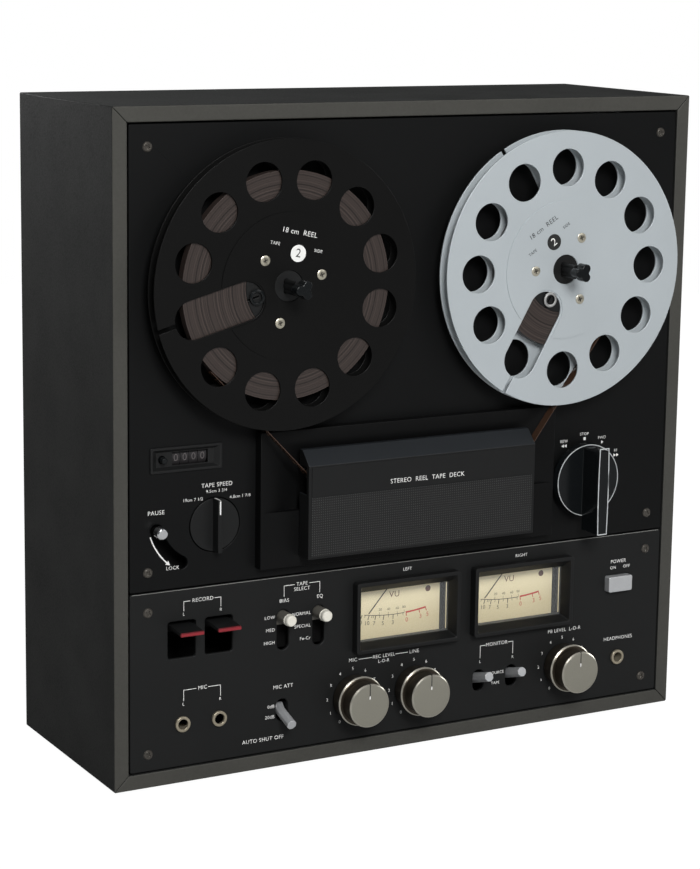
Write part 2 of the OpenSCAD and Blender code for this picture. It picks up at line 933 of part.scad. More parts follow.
module inner_knob(x) {
    placed() color(silver) translate([x, 0, level_z]) {
        rod([0, 0], -22, -12.4, level_front_r);
        taper([0, 0], -22.5, -22, level_front_r - 0.6, level_front_r);
        rod([0, 0], -12.4, 14, 2);
    }
}

module mic_level_outer_knob() {
    outer_knob(level_xs[0]);
}

module mic_level_inner_knob() {
    inner_knob(level_xs[0]);
}

module line_level_outer_knob() {
    outer_knob(level_xs[1]);
}

module line_level_inner_knob() {
    inner_knob(level_xs[1]);
}

module playback_level_outer_knob() {
    outer_knob(level_xs[2]);
}

module playback_level_inner_knob() {
    inner_knob(level_xs[2]);
}

module power_button() {
    placed() color(silver) slab(-4, 12) translate(power_at) round_rect(power_size, 1.2);
}

module phone_jacks() {
    placed() color(steel) for (at = jack_places) difference() {
        union() {
            rod(at, -1.4, panel_y, 5);
            rod(at, panel_y, panel_back, 4.4);
            rod(at, panel_back, 26, 7);
        }
        rod(at, -2, 23, jack_r);
    }
}

// ---- Meters ----

module meter_cases() {
    body_low = -22;
    body_top = 31;
    wall = 1.5;
    placed() color(black) for (x = meter_xs) translate([x, 0, meter_z]) difference() {
        union() {
            slab(meter_front, panel_y) round_rect([meter_w, meter_h], 2);
            slab(panel_y, panel_back) round_rect([meter_w - 5, meter_h - 5], 1);
            block([-37, 37], [panel_back, 26], [body_low, body_top]);
        }
        hull() {
            slab(meter_front - 0.1, meter_front) round_rect([meter_w - 5, meter_h - 5], 1);
            slab(glass_y[0] - 0.1, glass_y[0]) translate([0, -meter_window_drop]) round_rect(meter_window, 1);
        }
        slab(glass_y[0] - 0.1, 8) translate([0, -meter_window_drop]) square(meter_window, center = true);
        difference() {
            block([-37 + wall, 37 - wall], [6.5, 11.5], [body_low + wall, body_top - wall]);
            rod([0, needle_up], 0, 12, 0.6);
        }
    }
}

module meter_windows() {
    placed() color([0.8, 0.85, 0.85, 0.35]) for (x = meter_xs)
        slab(glass_y[0], glass_y[1]) translate([x, meter_z - meter_window_drop])
            square(meter_window, center = true);
}

// Balanced pointer that hangs from its pivot and swings to the right
module meter_needle(x) {
    tail = 6;
    placed() color(black) translate([x, 0, meter_z + needle_up]) rotate([0, needle_rest, 0]) difference() {
        union() {
            rod([0, 0], 8, 9.4, 1.8);
            block([-0.25, 0.25], needle_y, [-needle_len, 0]);
            block([-1.2, 1.2], [8.4, 9.2], [0, tail / 2]);
        }
        rod([0, 0], 7, 12, 0.6 + run_fit);
    }
}

module left_meter_needle() {
    meter_needle(meter_xs[0]);
}

module right_meter_needle() {
    meter_needle(meter_xs[1]);
}

// ---- Electronics ----

module pot(x) {
    difference() {
        rod([x, level_z], 12, 40, 11);
        rod([x, level_z], 11, 15, 3);
    }
}

// Two cheeks with a cross pin that carry a rocking lever
module cheeks(x, z, y, half_gap, pin_r, back) {
    for (s = [-1, 1]) block([x + s * (half_gap + 1) - 0.6, x + s * (half_gap + 1) + 0.6],
        [panel_back, back], [z - 4, z + 4]);
    cross_rod(x - half_gap - 1, x + half_gap + 1, y, z, pin_r);
}

module circuit_board() {
    board_y = [40, 41.6];
    placed() color([0.12, 0.25, 0.16]) {
        block([-180, 180], board_y, [14, 62]);
        block([-180, 180], board_y, [62, 118]);
        for (x = level_xs) pot(x);
        cheeks(mic_attenuator_at[0], mic_attenuator_at[1], toggle_y, 3.2, 1, 40);
        for (x = monitor_xs) cheeks(x, monitor_z, toggle_y, 3.2, 1, 40);
        for (x = record_xs) cheeks(x, 97, 15, 8.6, 1.2, 40);
        for (x = slide_xs) block([x - 9, x + 9], [7, 40], [76, 104]);
        block([power_at[0] - 11, power_at[0] + 11], [18, 40], [power_at[1] - 8, power_at[1] + 8]);
    }
}

module transformer() {
    placed() color(steel) {
        block([-30, 40], [70, 122], [board_t, board_t + 3]);
        block([-22, 32], [74, 118], [board_t + 3, board_t + 55]);
        block([-12, 22], [66, 126], [board_t + 12, board_t + 46]);
    }
}

wooden_case();
chassis_frame();
deck_panel();
control_panel();
back_cover();
terminal_panel();
rubber_feet();
panel_screws();
tape_path_escutcheon();
head_cover();
head_base();
tape_heads();
tape_guides();
threaded_tape();
supply_front_flange();
supply_rear_flange();
supply_hub();
supply_tape_pack();
supply_turntable();
supply_reel_lock();
takeup_front_flange();
takeup_rear_flange();
takeup_hub();
takeup_tape_pack();
takeup_turntable();
takeup_reel_lock();
motor();
motor_pulley();
drive_belt();
capstan_flywheel();
pinch_arm();
pinch_roller();
function_knob();
speed_knob();
pause_lever();
counter_frame();
counter_wheels();
counter_units_wheel();
counter_reset_button();
record_lever_left();
record_lever_right();
bias_lever();
eq_lever();
mic_attenuator_lever();
monitor_lever_left();
monitor_lever_right();
mic_level_outer_knob();
mic_level_inner_knob();
line_level_outer_knob();
line_level_inner_knob();
playback_level_outer_knob();
playback_level_inner_knob();
power_button();
phone_jacks();
meter_cases();
meter_windows();
left_meter_needle();
right_meter_needle();
circuit_board();
transformer();
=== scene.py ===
import json
import math

import bmesh
import bpy
from mathutils import Matrix, Vector

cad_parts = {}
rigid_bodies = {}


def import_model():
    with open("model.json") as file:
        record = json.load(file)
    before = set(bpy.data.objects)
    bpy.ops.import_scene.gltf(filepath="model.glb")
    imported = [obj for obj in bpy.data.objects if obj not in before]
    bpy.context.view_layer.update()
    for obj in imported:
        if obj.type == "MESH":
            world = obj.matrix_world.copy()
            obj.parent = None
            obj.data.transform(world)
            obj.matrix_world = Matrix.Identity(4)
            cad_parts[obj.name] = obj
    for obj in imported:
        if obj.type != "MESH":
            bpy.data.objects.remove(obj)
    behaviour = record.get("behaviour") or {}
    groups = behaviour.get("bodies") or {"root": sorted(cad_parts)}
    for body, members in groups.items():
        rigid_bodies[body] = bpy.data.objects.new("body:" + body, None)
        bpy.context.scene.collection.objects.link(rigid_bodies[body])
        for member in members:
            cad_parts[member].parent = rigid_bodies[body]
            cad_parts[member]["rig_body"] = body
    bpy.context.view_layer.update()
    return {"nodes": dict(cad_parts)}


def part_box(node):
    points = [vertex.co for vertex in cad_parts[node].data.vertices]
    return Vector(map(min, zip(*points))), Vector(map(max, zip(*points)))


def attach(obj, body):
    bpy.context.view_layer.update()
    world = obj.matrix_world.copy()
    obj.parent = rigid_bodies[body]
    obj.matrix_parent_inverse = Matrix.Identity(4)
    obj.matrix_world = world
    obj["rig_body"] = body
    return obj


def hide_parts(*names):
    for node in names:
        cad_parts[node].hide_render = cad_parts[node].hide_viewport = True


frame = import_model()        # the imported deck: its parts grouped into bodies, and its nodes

MM = 0.001
NODES = frame["nodes"]
CASE_LOW, CASE_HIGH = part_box("wooden_case")
PANEL_Y = (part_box("deck_panel")[0].y - CASE_LOW.y) / MM
FRONT = Vector((0, -1, 0))


# ---- Places: millimetres from the case's front edge, its middle and its underside ----

def place(x, y, z):
    """A point of the deck, from millimetres, in the row frame."""
    return Vector((x * MM, CASE_LOW.y + y * MM, CASE_LOW.z + z * MM))


def extent(node):
    """A node's lowest and highest corner in the deck's own millimetres."""
    low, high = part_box(node)
    base = Vector((0, CASE_LOW.y, CASE_LOW.z))
    return (low - base) / MM, (high - base) / MM


def turned(degrees, axis):
    return Matrix.Rotation(math.radians(degrees), 4, axis)


def middle(node):
    low, high = extent(node)
    return (low + high) / 2


# ---- Materials ----

def new_material(name):
    material = bpy.data.materials.new(name)
    material.use_nodes = True
    tree = material.node_tree
    return material, tree, tree.nodes["Principled BSDF"]


def link(output, socket):
    output.id_data.links.new(output, socket)


def preset(node, values):
    for key, value in values.items():
        node.inputs[key].default_value = value


def add(tree, kind, **values):
    node = tree.nodes.new("ShaderNode" + kind)
    for key, value in values.items():
        if key in node.inputs:
            node.inputs[key].default_value = value
        else:
            setattr(node, key, value)
    return node


def stretched_coords(tree, stretch=(1, 1, 1)):
    coords = add(tree, "TexCoord")
    mapping = add(tree, "Mapping")
    mapping.inputs["Scale"].default_value = stretch
    link(coords.outputs["Object"], mapping.inputs["Vector"])
    return mapping.outputs["Vector"]


def two_tone(tree, factor, dark, light):
    ramp = add(tree, "ValToRGB")
    ramp.color_ramp.elements[0].position = 0.3
    ramp.color_ramp.elements[0].color = (*dark, 1)
    ramp.color_ramp.elements[1].position = 0.7
    ramp.color_ramp.elements[1].color = (*light, 1)
    link(factor, ramp.inputs["Fac"])
    return ramp.outputs["Color"]


def clouded(tree, factor, colour, vary):
    """A colour that varies by a share to either side."""
    return two_tone(tree, factor, [c * (1 - vary) for c in colour], [min(1, c * (1 + vary)) for c in colour])


def rough_range(tree, factor, shader, rough, spread):
    spread_node = add(tree, "MapRange")
    preset(spread_node, {"To Min": max(0.03, rough - spread), "To Max": min(1, rough + spread)})
    link(factor, spread_node.inputs["Value"])
    link(spread_node.outputs["Result"], shader.inputs["Roughness"])


def bumped(tree, height, shader, strength, distance):
    bump = add(tree, "Bump")
    preset(bump, {"Strength": strength, "Distance": distance})
    link(height, bump.inputs["Height"])
    link(bump.outputs["Normal"], shader.inputs["Normal"])


def grained(name, colour, rough, metallic=0.0, vary=0.2, blotch=60, grain=2500, stretch=(1, 1, 1),
            bump=0.15, depth=0.00005, spread=0.08, specular=0.4, coat=0.0):
    """Colour clouded at one scale, with a fine grain in its roughness and surface."""
    material, tree, shader = new_material(name)
    vector = stretched_coords(tree, stretch)
    cloud = add(tree, "TexNoise", Scale=blotch, Detail=4.0)
    fine = add(tree, "TexNoise", Scale=grain, Detail=3.0)
    link(vector, fine.inputs["Vector"])
    coords = add(tree, "TexCoord")
    link(coords.outputs["Object"], cloud.inputs["Vector"])
    mix = add(tree, "Math", operation="ADD")
    half = add(tree, "Math", operation="MULTIPLY")
    half.inputs[1].default_value = 0.5
    link(cloud.outputs["Fac"], mix.inputs[0])
    link(fine.outputs["Fac"], mix.inputs[1])
    link(mix.outputs[0], half.inputs[0])
    link(clouded(tree, half.outputs[0], colour, vary), shader.inputs["Base Color"])
    rough_range(tree, half.outputs[0], shader, rough, spread)
    bumped(tree, fine.outputs["Fac"], shader, bump, depth)
    preset(shader, {"Metallic": metallic, "Specular IOR Level": specular, "Coat Weight": coat})
    return material


def ink(name, colour, vary):
    return grained(name, colour, 0.6, vary=vary, blotch=500, grain=3000, bump=0.05)


def axis_distance(tree, vector, centre):
    """How far a coordinate is from an axis along Y."""
    offset = add(tree, "VectorMath", operation="SUBTRACT")
    offset.inputs[1].default_value = centre
    flat = add(tree, "VectorMath", operation="MULTIPLY")
    flat.inputs[1].default_value = (1, 0, 1)
    length = add(tree, "VectorMath", operation="LENGTH")
    link(vector, offset.inputs[0])
    link(offset.outputs["Vector"], flat.inputs[0])
    link(flat.outputs["Vector"], length.inputs[0])
    return length.outputs["Value"]


def ringed(name, centre, colour, rough, metallic, rings, vary, bump, depth, specular=0.4):
    """Fine concentric rings about an axis along Y: turned metal faces and wound tape."""
    material, tree, shader = new_material(name)
    coords = add(tree, "TexCoord")
    wave = add(tree, "TexNoise", noise_dimensions="1D", Scale=rings, Detail=5.0)
    link(axis_distance(tree, coords.outputs["Object"], (centre.x, 0, centre.z)), wave.inputs["W"])
    link(clouded(tree, wave.outputs["Fac"], colour, vary), shader.inputs["Base Color"])
    rough_range(tree, wave.outputs["Fac"], shader, rough, 0.08)
    bumped(tree, wave.outputs["Fac"], shader, bump, depth)
    preset(shader, {"Metallic": metallic, "Specular IOR Level": specular})
    return material


def leathercloth(name, colour, rough):
    """Textured vinyl: fine cells pressed into a dark skin."""
    material, tree, shader = new_material(name)
    vector = stretched_coords(tree)
    cells = add(tree, "TexVoronoi", Scale=900.0)
    cells.feature = "F1"
    cloud = add(tree, "TexNoise", Scale=25.0, Detail=5.0)
    link(vector, cells.inputs["Vector"])
    link(vector, cloud.inputs["Vector"])
    link(clouded(tree, cloud.outputs["Fac"], colour, 0.2), shader.inputs["Base Color"])
    rough_range(tree, cells.outputs["Distance"], shader, rough, 0.1)
    bumped(tree, cells.outputs["Distance"], shader, 0.35, 0.00012)
    shader.inputs["Specular IOR Level"].default_value = 0.04
    return material


def clear_plastic(name):
    material, tree, shader = new_material(name)
    vector = stretched_coords(tree)
    cloud = add(tree, "TexNoise", Scale=300.0, Detail=2.0)
    link(vector, cloud.inputs["Vector"])
    rough_range(tree, cloud.outputs["Fac"], shader, 0.05, 0.02)
    preset(shader, {"Base Color": (0.9, 0.93, 0.93, 1), "Alpha": 0.045, "Specular IOR Level": 0.2})
    material.surface_render_method = "BLENDED"
    return material


def dotted_grille(name, colour, pitch):
    """Woven grille: a square grid of small pale knots on a dark ground."""
    material, tree, shader = new_material(name)
    coords = add(tree, "TexCoord")
    scale = add(tree, "VectorMath", operation="SCALE")
    scale.inputs["Scale"].default_value = 1 / pitch
    cell = add(tree, "VectorMath", operation="FRACTION")
    link(coords.outputs["Object"], scale.inputs[0])
    link(scale.outputs["Vector"], cell.inputs[0])
    hole = add(tree, "MapRange")
    preset(hole, {"From Min": 0.16, "From Max": 0.26})
    link(axis_distance(tree, cell.outputs["Vector"], (0.5, 0.5, 0.5)), hole.inputs["Value"])
    fine = add(tree, "TexNoise", Scale=1500.0, Detail=2.0)
    link(coords.outputs["Object"], fine.inputs["Vector"])
    plate = two_tone(tree, fine.outputs["Fac"], [c * 0.85 for c in colour], [c * 1.2 for c in colour])
    mix = add(tree, "Mix", data_type="RGBA")
    mix.inputs["B"].default_value = (0.005, 0.005, 0.005, 1)
    link(hole.outputs["Result"], mix.inputs["Factor"])
    link(plate, mix.inputs["A"])
    link(mix.outputs["Result"], shader.inputs["Base Color"])
    rough_range(tree, fine.outputs["Fac"], shader, 0.45, 0.08)
    bumped(tree, hole.outputs["Result"], shader, 0.8, 0.0003)
    shader.inputs["Specular IOR Level"].default_value = 0.4
    return material


def dial_paper(name, low, high):
    """Cream meter card with painted light: a little brighter towards its middle from above, and a faint
    painted glow.
    """
    material, tree, shader = new_material(name)
    coords = add(tree, "TexCoord")
    split = add(tree, "SeparateXYZ")
    # Painted light: the colour brightens from the window's bottom to its top.
    rise = add(tree, "MapRange")
    preset(rise, {"From Min": low, "From Max": high})
    speckle = add(tree, "TexNoise", Scale=1800.0, Detail=3.0)
    mix = add(tree, "Math", operation="MULTIPLY_ADD")
    mix.inputs[1].default_value = 0.12
    link(coords.outputs["Object"], split.inputs[0])
    link(coords.outputs["Object"], speckle.inputs["Vector"])
    link(split.outputs["Z"], rise.inputs["Value"])
    link(speckle.outputs["Fac"], mix.inputs[0])
    link(rise.outputs["Result"], mix.inputs[2])
    colour = two_tone(tree, mix.outputs[0], (0.55, 0.47, 0.28), (0.68, 0.6, 0.39))
    link(colour, shader.inputs["Base Color"])
    # Painted light: a faint glow, though the card is no lamp.
    link(colour, shader.inputs["Emission Color"])
    shader.inputs["Emission Strength"].default_value = 0.16
    rough_range(tree, speckle.outputs["Fac"], shader, 0.7, 0.08)
    bumped(tree, speckle.outputs["Fac"], shader, 0.1, 0.00003)
    return material


CASE_SKIN = leathercloth("case_vinyl", (0.0215, 0.0222, 0.0212), 0.6)
# Painted light: a paler black for the case's forward faces, the front lit brighter than the sides.
CASE_FRONT_PAINTED_LIGHT = grained("case_front_painted_light", (0.054, 0.053, 0.047), 0.5, vary=0.12, blotch=18, grain=700,
                    bump=0.12, specular=0.2)
PANEL = grained("panel_black", (0.0026, 0.0028, 0.0029), 0.5, vary=0.14, blotch=12, grain=4200, bump=0.08,
                specular=0.15)
LOWER_PANEL = grained("lower_panel_black", (0.0092, 0.0096, 0.0096), 0.5, vary=0.12, blotch=12, grain=4200,
                      bump=0.08, specular=0.18)
BLACK = grained("moulded_black", (0.0068, 0.0071, 0.0072), 0.48, vary=0.15, blotch=30, grain=3000, bump=0.2,
                specular=0.25)
# Painted light: a paler, bluish black for the head cover's faces that look up, as if lit from above.
COVER_TOP_PAINTED_LIGHT = grained("cover_top_painted_light", (0.0125, 0.0145, 0.0168), 0.42, vary=0.14, blotch=25, grain=3000,
                      bump=0.2, specular=0.35)
ESCUTCHEON = grained("escutcheon_black", (0.0024, 0.0025, 0.0026), 0.5, vary=0.15, blotch=30, grain=3000,
                     bump=0.15, specular=0.14)
# Painted shade: near-black for insides seen through openings.
PAINTED_SHADE_BLACK = grained("painted_shade_black", (0.003, 0.003, 0.003), 0.7, vary=0.2, blotch=30, grain=2000, bump=0.1,
               specular=0.1)
# Painted highlight: a pale line for light caught where the control panel meets the deck panel.
PAINTED_EDGE_HIGHLIGHT = grained("painted_edge_highlight", (0.19, 0.19, 0.18), 0.4, metallic=0.1, vary=0.2, blotch=60, grain=2500,
                    bump=0.08)
GLOSS = grained("polished_black", (0.005, 0.006, 0.0066), 0.2, vary=0.15, blotch=30, grain=900, bump=0.03,
                spread=0.04, specular=0.22)
STEEL = grained("plated_steel", (0.5, 0.5, 0.49), 0.38, metallic=1.0, vary=0.1, grain=1800,
                stretch=(1, 1, 0.05), bump=0.1)
SCREW = grained("screw_metal", (0.085, 0.078, 0.068), 0.34, metallic=0.6, vary=0.25, blotch=400, grain=2500)
BRASS = grained("reel_screw_metal", (0.5, 0.47, 0.38), 0.35, metallic=0.8, vary=0.12, blotch=300, grain=2200,
                bump=0.1)
CHROME = grained("bright_metal", (0.66, 0.67, 0.68), 0.16, metallic=1.0, vary=0.06, grain=1500, bump=0.04,
                 spread=0.05)
SATIN = grained("satin_lever", (0.5, 0.51, 0.52), 0.34, metallic=0.45, vary=0.08, grain=2200,
                stretch=(1, 0.1, 1), bump=0.08, specular=0.6)
BRIGHT_LINE = grained("bright_line", (0.62, 0.64, 0.65), 0.3, metallic=0.25, vary=0.05, grain=1500, bump=0.04,
                      specular=0.6)
LIP = grained("knob_lip", (0.5, 0.48, 0.41), 0.3, metallic=0.75, vary=0.1, grain=1800, bump=0.06)
JACK = grained("jack_ring", (0.36, 0.32, 0.24), 0.3, metallic=0.6, vary=0.12, grain=1800, bump=0.06)
WHEEL = grained("counter_wheel", (0.02, 0.0185, 0.0195), 0.6, vary=0.15, blotch=300, grain=2600, bump=0.1,
                specular=0.2)
RUBBER = grained("rubber", (0.014, 0.014, 0.014), 0.8, vary=0.2, blotch=80, grain=1500, bump=0.35)
PRINT = ink("white_print", (0.78, 0.78, 0.76), 0.06)
FAINT_PRINT = ink("counter_print", (0.085, 0.076, 0.076), 0.1)
BLACK_PRINT = ink("black_print", (0.012, 0.012, 0.012), 0.1)
RED_PRINT = ink("red_print", (0.5, 0.035, 0.025), 0.08)
BROWN_PRINT = ink("brown_print", (0.11, 0.035, 0.022), 0.08)
RED_TIP = grained("red_plastic", (0.24, 0.016, 0.024), 0.35, vary=0.1, blotch=120, grain=2000, bump=0.1)
CREAM = grained("cream_plastic", (0.72, 0.7, 0.62), 0.35, vary=0.05, blotch=200, grain=2000, bump=0.08)
COLLAR = grained("grey_collar", (0.11, 0.105, 0.09), 0.35, vary=0.12, blotch=150, grain=2200, bump=0.08)
SKIRT = grained("knob_skirt", (0.075, 0.063, 0.048), 0.36, metallic=0.85, vary=0.18, blotch=90, grain=1800,
                stretch=(1, 0.05, 1), bump=0.15)
BOARD = grained("circuit_board", (0.03, 0.1, 0.05), 0.5, vary=0.2, blotch=90, grain=900, bump=0.2)
ENAMEL = grained("grey_enamel", (0.14, 0.15, 0.16), 0.45, vary=0.12, blotch=40, grain=1500, bump=0.15)
SILVER_REEL = grained("reel_silver", (0.45, 0.49, 0.51), 0.5, metallic=0.3, vary=0.05, blotch=14, grain=5200,
                      bump=0.12, specular=0.5)
BLACK_REEL = grained("reel_black", (0.0026, 0.0026, 0.0025), 0.42, vary=0.14, blotch=14, grain=5200,
                     bump=0.12, specular=0.15)
TAPE = grained("tape_film", (0.05, 0.026, 0.016), 0.22, vary=0.2, blotch=60, grain=1500, bump=0.05,
               specular=0.5)
GRILLE = dotted_grille("grille_plate", (0.05, 0.053, 0.052), 1.5 * MM)
CLEAR = clear_plastic("clear_window")


# ---- Meshes ----

def new_object(name, data):
    piece = bpy.data.objects.new(name, data)
    bpy.context.scene.collection.objects.link(piece)
    return piece


def shade(mesh, crease):
    """Smooth shading, with edges over so many degrees left sharp."""
    mesh.shade_smooth()
    mesh.set_sharp_from_angle(angle=math.radians(crease))


def give_looks(mesh, material):
    for look in material if isinstance(material, list) else [material]:
        mesh.materials.append(look)


def second_look(piece, chosen):
    """The piece's second material goes on the faces that a test picks."""
    for face in piece.data.polygons:
        if chosen(face):
            face.material_index = 1


def weld(bm, distance=1e-7):
    bmesh.ops.remove_doubles(bm, verts=bm.verts, dist=distance)


def finish_mesh(bm, name, material, body="deck"):
    bmesh.ops.recalc_face_normals(bm, faces=bm.faces)
    mesh = bpy.data.meshes.new(name)
    bm.to_mesh(mesh)
    bm.free()
    shade(mesh, 32)
    piece = new_object(name, mesh)
    give_looks(mesh, material)
    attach(piece, body)
    return piece


def lathe(bm, profile, x, z, steps=96, material_index=0):
    """A closed profile of (radius, depth) turned about the axis along Y at (x, z)."""
    rings = []
    for radius, depth in profile:
        if radius < 1e-6:
            rings.append([bm.verts.new(place(x, depth, z))])
            continue
        angles = [2 * math.pi * k / steps for k in range(steps)]
        rings.append([bm.verts.new(place(x + radius * math.cos(a), depth, z + radius * math.sin(a)))
                      for a in angles])
    made = []
    for low, high in zip(rings, rings[1:]):
        for k in range(steps):
            after = (k + 1) % steps
            if len(low) == 1 and len(high) == 1:
                continue
            if len(low) == 1:
                corners = [low[0], high[after], high[k]]
            elif len(high) == 1:
                corners = [low[k], low[after], high[0]]
            else:
                corners = [low[k], low[after], high[after], high[k]]
            made.append(bm.faces.new(corners))
    for face in made:
        face.material_index = material_index
    return rings


def lathed_ring(bm, profile, x, z, steps=96, material_index=0):
    """Like lathe, for a profile that closes on itself off the axis."""
    lathe(bm, list(profile) + [profile[0]], x, z, steps, material_index)
    weld(bm)


def prism(bm, outline, y0, y1, material_index=0):
    """A flat outline of (x, z) points made into a plate between two depths."""
    front = [bm.verts.new(place(x, y0, z)) for x, z in outline]
    back = [bm.verts.new(place(x, y1, z)) for x, z in outline]
    faces = [bm.faces.new(front), bm.faces.new(list(reversed(back)))]
    count = len(outline)
    for k in range(count):
        after = (k + 1) % count
        faces.append(bm.faces.new([front[k], back[k], back[after], front[after]]))
    for face in faces:
        face.material_index = material_index
    return faces


def bar(bm, p, q, width, y0, y1, material_index=0):
    """A straight thin bar from (x, z) to (x, z)."""
    along = Vector((q[0] - p[0], q[1] - p[1]))
    side = Vector((-along.y, along.x)).normalized() * width / 2
    corners = [(p[0] + side.x, p[1] + side.y), (q[0] + side.x, q[1] + side.y),
               (q[0] - side.x, q[1] - side.y), (p[0] - side.x, p[1] - side.y)]
    prism(bm, corners, y0, y1, material_index)


def arc_points(x, z, radius, start, end, steps):
    angles = [math.radians(start + (end - start) * k / steps) for k in range(steps + 1)]
    return [(x + radius * math.cos(a), z + radius * math.sin(a)) for a in angles]


def arc_band(bm, x, z, radius, width, start, end, y0, y1, steps=40, material_index=0):
    """A curved thin bar along a circle, made of short plates that share corners."""
    inner = arc_points(x, z, radius - width / 2, start, end, steps)
    outer = arc_points(x, z, radius + width / 2, start, end, steps)
    prism(bm, inner + outer[::-1], y0, y1, material_index)


WELD = 1e-6               # metres within which corners are one
FLAT_ANGLE = 0.6          # degrees under which two faces are one
BEVEL_ANGLE = 28          # degrees over which an edge is rounded
CREASE_ANGLE = 50         # degrees over which an edge stays sharp in the shading


def softened(node, material, width, segments=2):
    """A CAD node with its sharp edges rounded, standing for the plain node."""
    source = NODES[node]
    bm = bmesh.new()
    bm.from_mesh(source.data)
    weld(bm, WELD)
    bmesh.ops.dissolve_limit(bm, angle_limit=math.radians(FLAT_ANGLE), verts=bm.verts, edges=bm.edges)
    mesh = bpy.data.meshes.new(node + "_soft")
    bm.to_mesh(mesh)
    bm.free()
    draft = new_object(node + "_draft", mesh)
    bevel = draft.modifiers.new("round", "BEVEL")
    bevel.width = width * MM
    bevel.segments = segments
    bevel.limit_method = "ANGLE"
    bevel.angle_limit = math.radians(BEVEL_ANGLE)
    bevel.use_clamp_overlap = False
    shade(mesh, CREASE_ANGLE)
    flatten = draft.modifiers.new("flatten", "WEIGHTED_NORMAL")
    flatten.weight = 100
    flatten.keep_sharp = True
    bpy.context.view_layer.update()
    graph = bpy.context.evaluated_depsgraph_get()
    result = bpy.data.meshes.new_from_object(draft.evaluated_get(graph))
    bpy.data.objects.remove(draft)
    piece = new_object(node + "_rounded", result)
    result.materials.clear()
    give_looks(result, material)
    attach(piece, source["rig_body"])
    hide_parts(node)
    return piece


def paint(node, material):
    mesh = NODES[node].data
    mesh.materials.clear()
    mesh.materials.append(material)
    shade(mesh, 30)


CAP_SHARE = 0.72          # height of a capital against the font's size
THINNED = 0.005           # how much of a letter's height is taken off its outline
LETTER_SPACING = 1.08


def letter_curve(text, height, align, thickness, spacing=LETTER_SPACING, thinned=THINNED):
    """One word as a thin flat text object's data, in its own plane."""
    curve = bpy.data.curves.new("letters", "FONT")
    curve.body = text
    curve.size = height / CAP_SHARE * MM
    curve.align_x = align
    curve.align_y = "CENTER"
    curve.extrude = thickness / 2 * MM
    curve.space_character = spacing
    curve.offset = -thinned * height * MM
    return curve


def lettering(name, material, entries, depth, body="deck", raise_by=0.06, facing_back=False):
    """Flat words and numbers, each (text, x, z, height, align, turn), joined into one print."""
    bm = bmesh.new()
    stand = turned(90, "X")
    if facing_back:
        stand = turned(180, "Z") @ stand
    for text, x, z, height, align, turn in entries:
        if facing_back:
            curve = letter_curve(text, height, align, raise_by, 1, 0)
        else:
            curve = letter_curve(text, height, align, raise_by)
            curve.resolution_u = 3
        draft = new_object("letters", curve)
        bpy.context.view_layer.update()
        mesh = bpy.data.meshes.new_from_object(draft.evaluated_get(bpy.context.evaluated_depsgraph_get()))
        spin = turned(-turn, "Y")
        mesh.transform(Matrix.Translation(place(x, depth, z)) @ spin @ stand)
        bm.from_mesh(mesh)
        bpy.data.objects.remove(draft)
        bpy.data.meshes.remove(mesh)
    weld(bm)
    return finish_mesh(bm, name, material, body)


# ---- Case and panels ----

def build_case():
    """The four boards with soft edges; faces that look forward take a paler material, painted light on the
    front.
    """
    piece = softened("wooden_case", [CASE_SKIN, CASE_FRONT_PAINTED_LIGHT], 0.7, segments=3)
    second_look(piece, lambda face: face.normal.dot(FRONT) > 0.6)


NO_FACING = 2             # more than the product of two unit vectors, so it picks no face


def darken_front(node, depth, facing=NO_FACING):
    """Painted shade: what shows through the panel's openings is blackened, faces before a depth or looking
    forward.
    """
    NODES[node].data.materials.append(PAINTED_SHADE_BLACK)
    front = place(0, depth, 0).y
    second_look(NODES[node], lambda face: face.normal.dot(FRONT) > facing or face.center.y < front)


def build_plain_nodes():
    looks = {
        "chassis_frame": STEEL, "head_base": STEEL, "motor": ENAMEL, "motor_pulley": STEEL,
        "drive_belt": RUBBER, "capstan_flywheel": STEEL, "pinch_arm": STEEL, "pinch_roller": RUBBER,
        "tape_heads": CHROME, "tape_guides": CHROME, "circuit_board": BOARD, "transformer": ENAMEL,
        "threaded_tape": TAPE, "meter_windows": CLEAR, "left_meter_needle": BLACK_PRINT,
        "right_meter_needle": BLACK_PRINT, "counter_wheels": WHEEL, "counter_units_wheel": WHEEL,
        "supply_turntable": BLACK, "takeup_turntable": BLACK,
    }
    for node, material in looks.items():
        paint(node, material)
    darken_front("circuit_board", 39, facing=0.6)
    darken_front("chassis_frame", 16)
    darken_front("head_base", 16)


def build_rounded_nodes():
    for node, material, width in (
            ("deck_panel", PANEL, 0.5), ("control_panel", LOWER_PANEL, 0.5), ("back_cover", LOWER_PANEL, 0.4),
            ("terminal_panel", BLACK, 0.2), ("rubber_feet", RUBBER, 0.8), ("panel_screws", SCREW, 0.15),
            ("tape_path_escutcheon", ESCUTCHEON, 0.35), ("counter_frame", BLACK, 0.2),
            ("counter_reset_button", GLOSS, 0.3), ("meter_cases", BLACK, 0.35), ("phone_jacks", JACK, 0.3),
            ("mic_attenuator_lever", SATIN, 0.35), ("speed_knob", BLACK, 0.3)):
        softened(node, material, width)
    cover = softened("head_cover", [BLACK, COVER_TOP_PAINTED_LIGHT], 0.3)
    # Faces that look up take the painted light.
    second_look(cover, lambda face: face.normal.z > 0.3)
    softened("power_button", SATIN, 0.5, segments=3)
    for side in ("left", "right"):
        softened("record_lever_" + side, BLACK, 0.3)
        softened("monitor_lever_" + side, SATIN, 0.35)
    for which, skin in (("supply", BLACK_REEL), ("takeup", SILVER_REEL)):
        softened(which + "_front_flange", skin, 0.25)
        softened(which + "_rear_flange", skin, 0.25)
        softened(which + "_hub", BLACK, 0.2)
        softened(which + "_reel_lock", GLOSS, 0.5, segments=3)
        softened(which + "_tape_pack", ringed(which + "_winding", centre_of(which + "_tape_pack"),
                 (0.032, 0.0235, 0.0205), 0.36, 0.0, 900.0, 0.62, 0.5, 0.00015), 0.1)


def centre_of(node):
    low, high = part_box(node)
    return (low + high) / 2


# ---- Transport details ----

FUNCTION_Z = 165.8


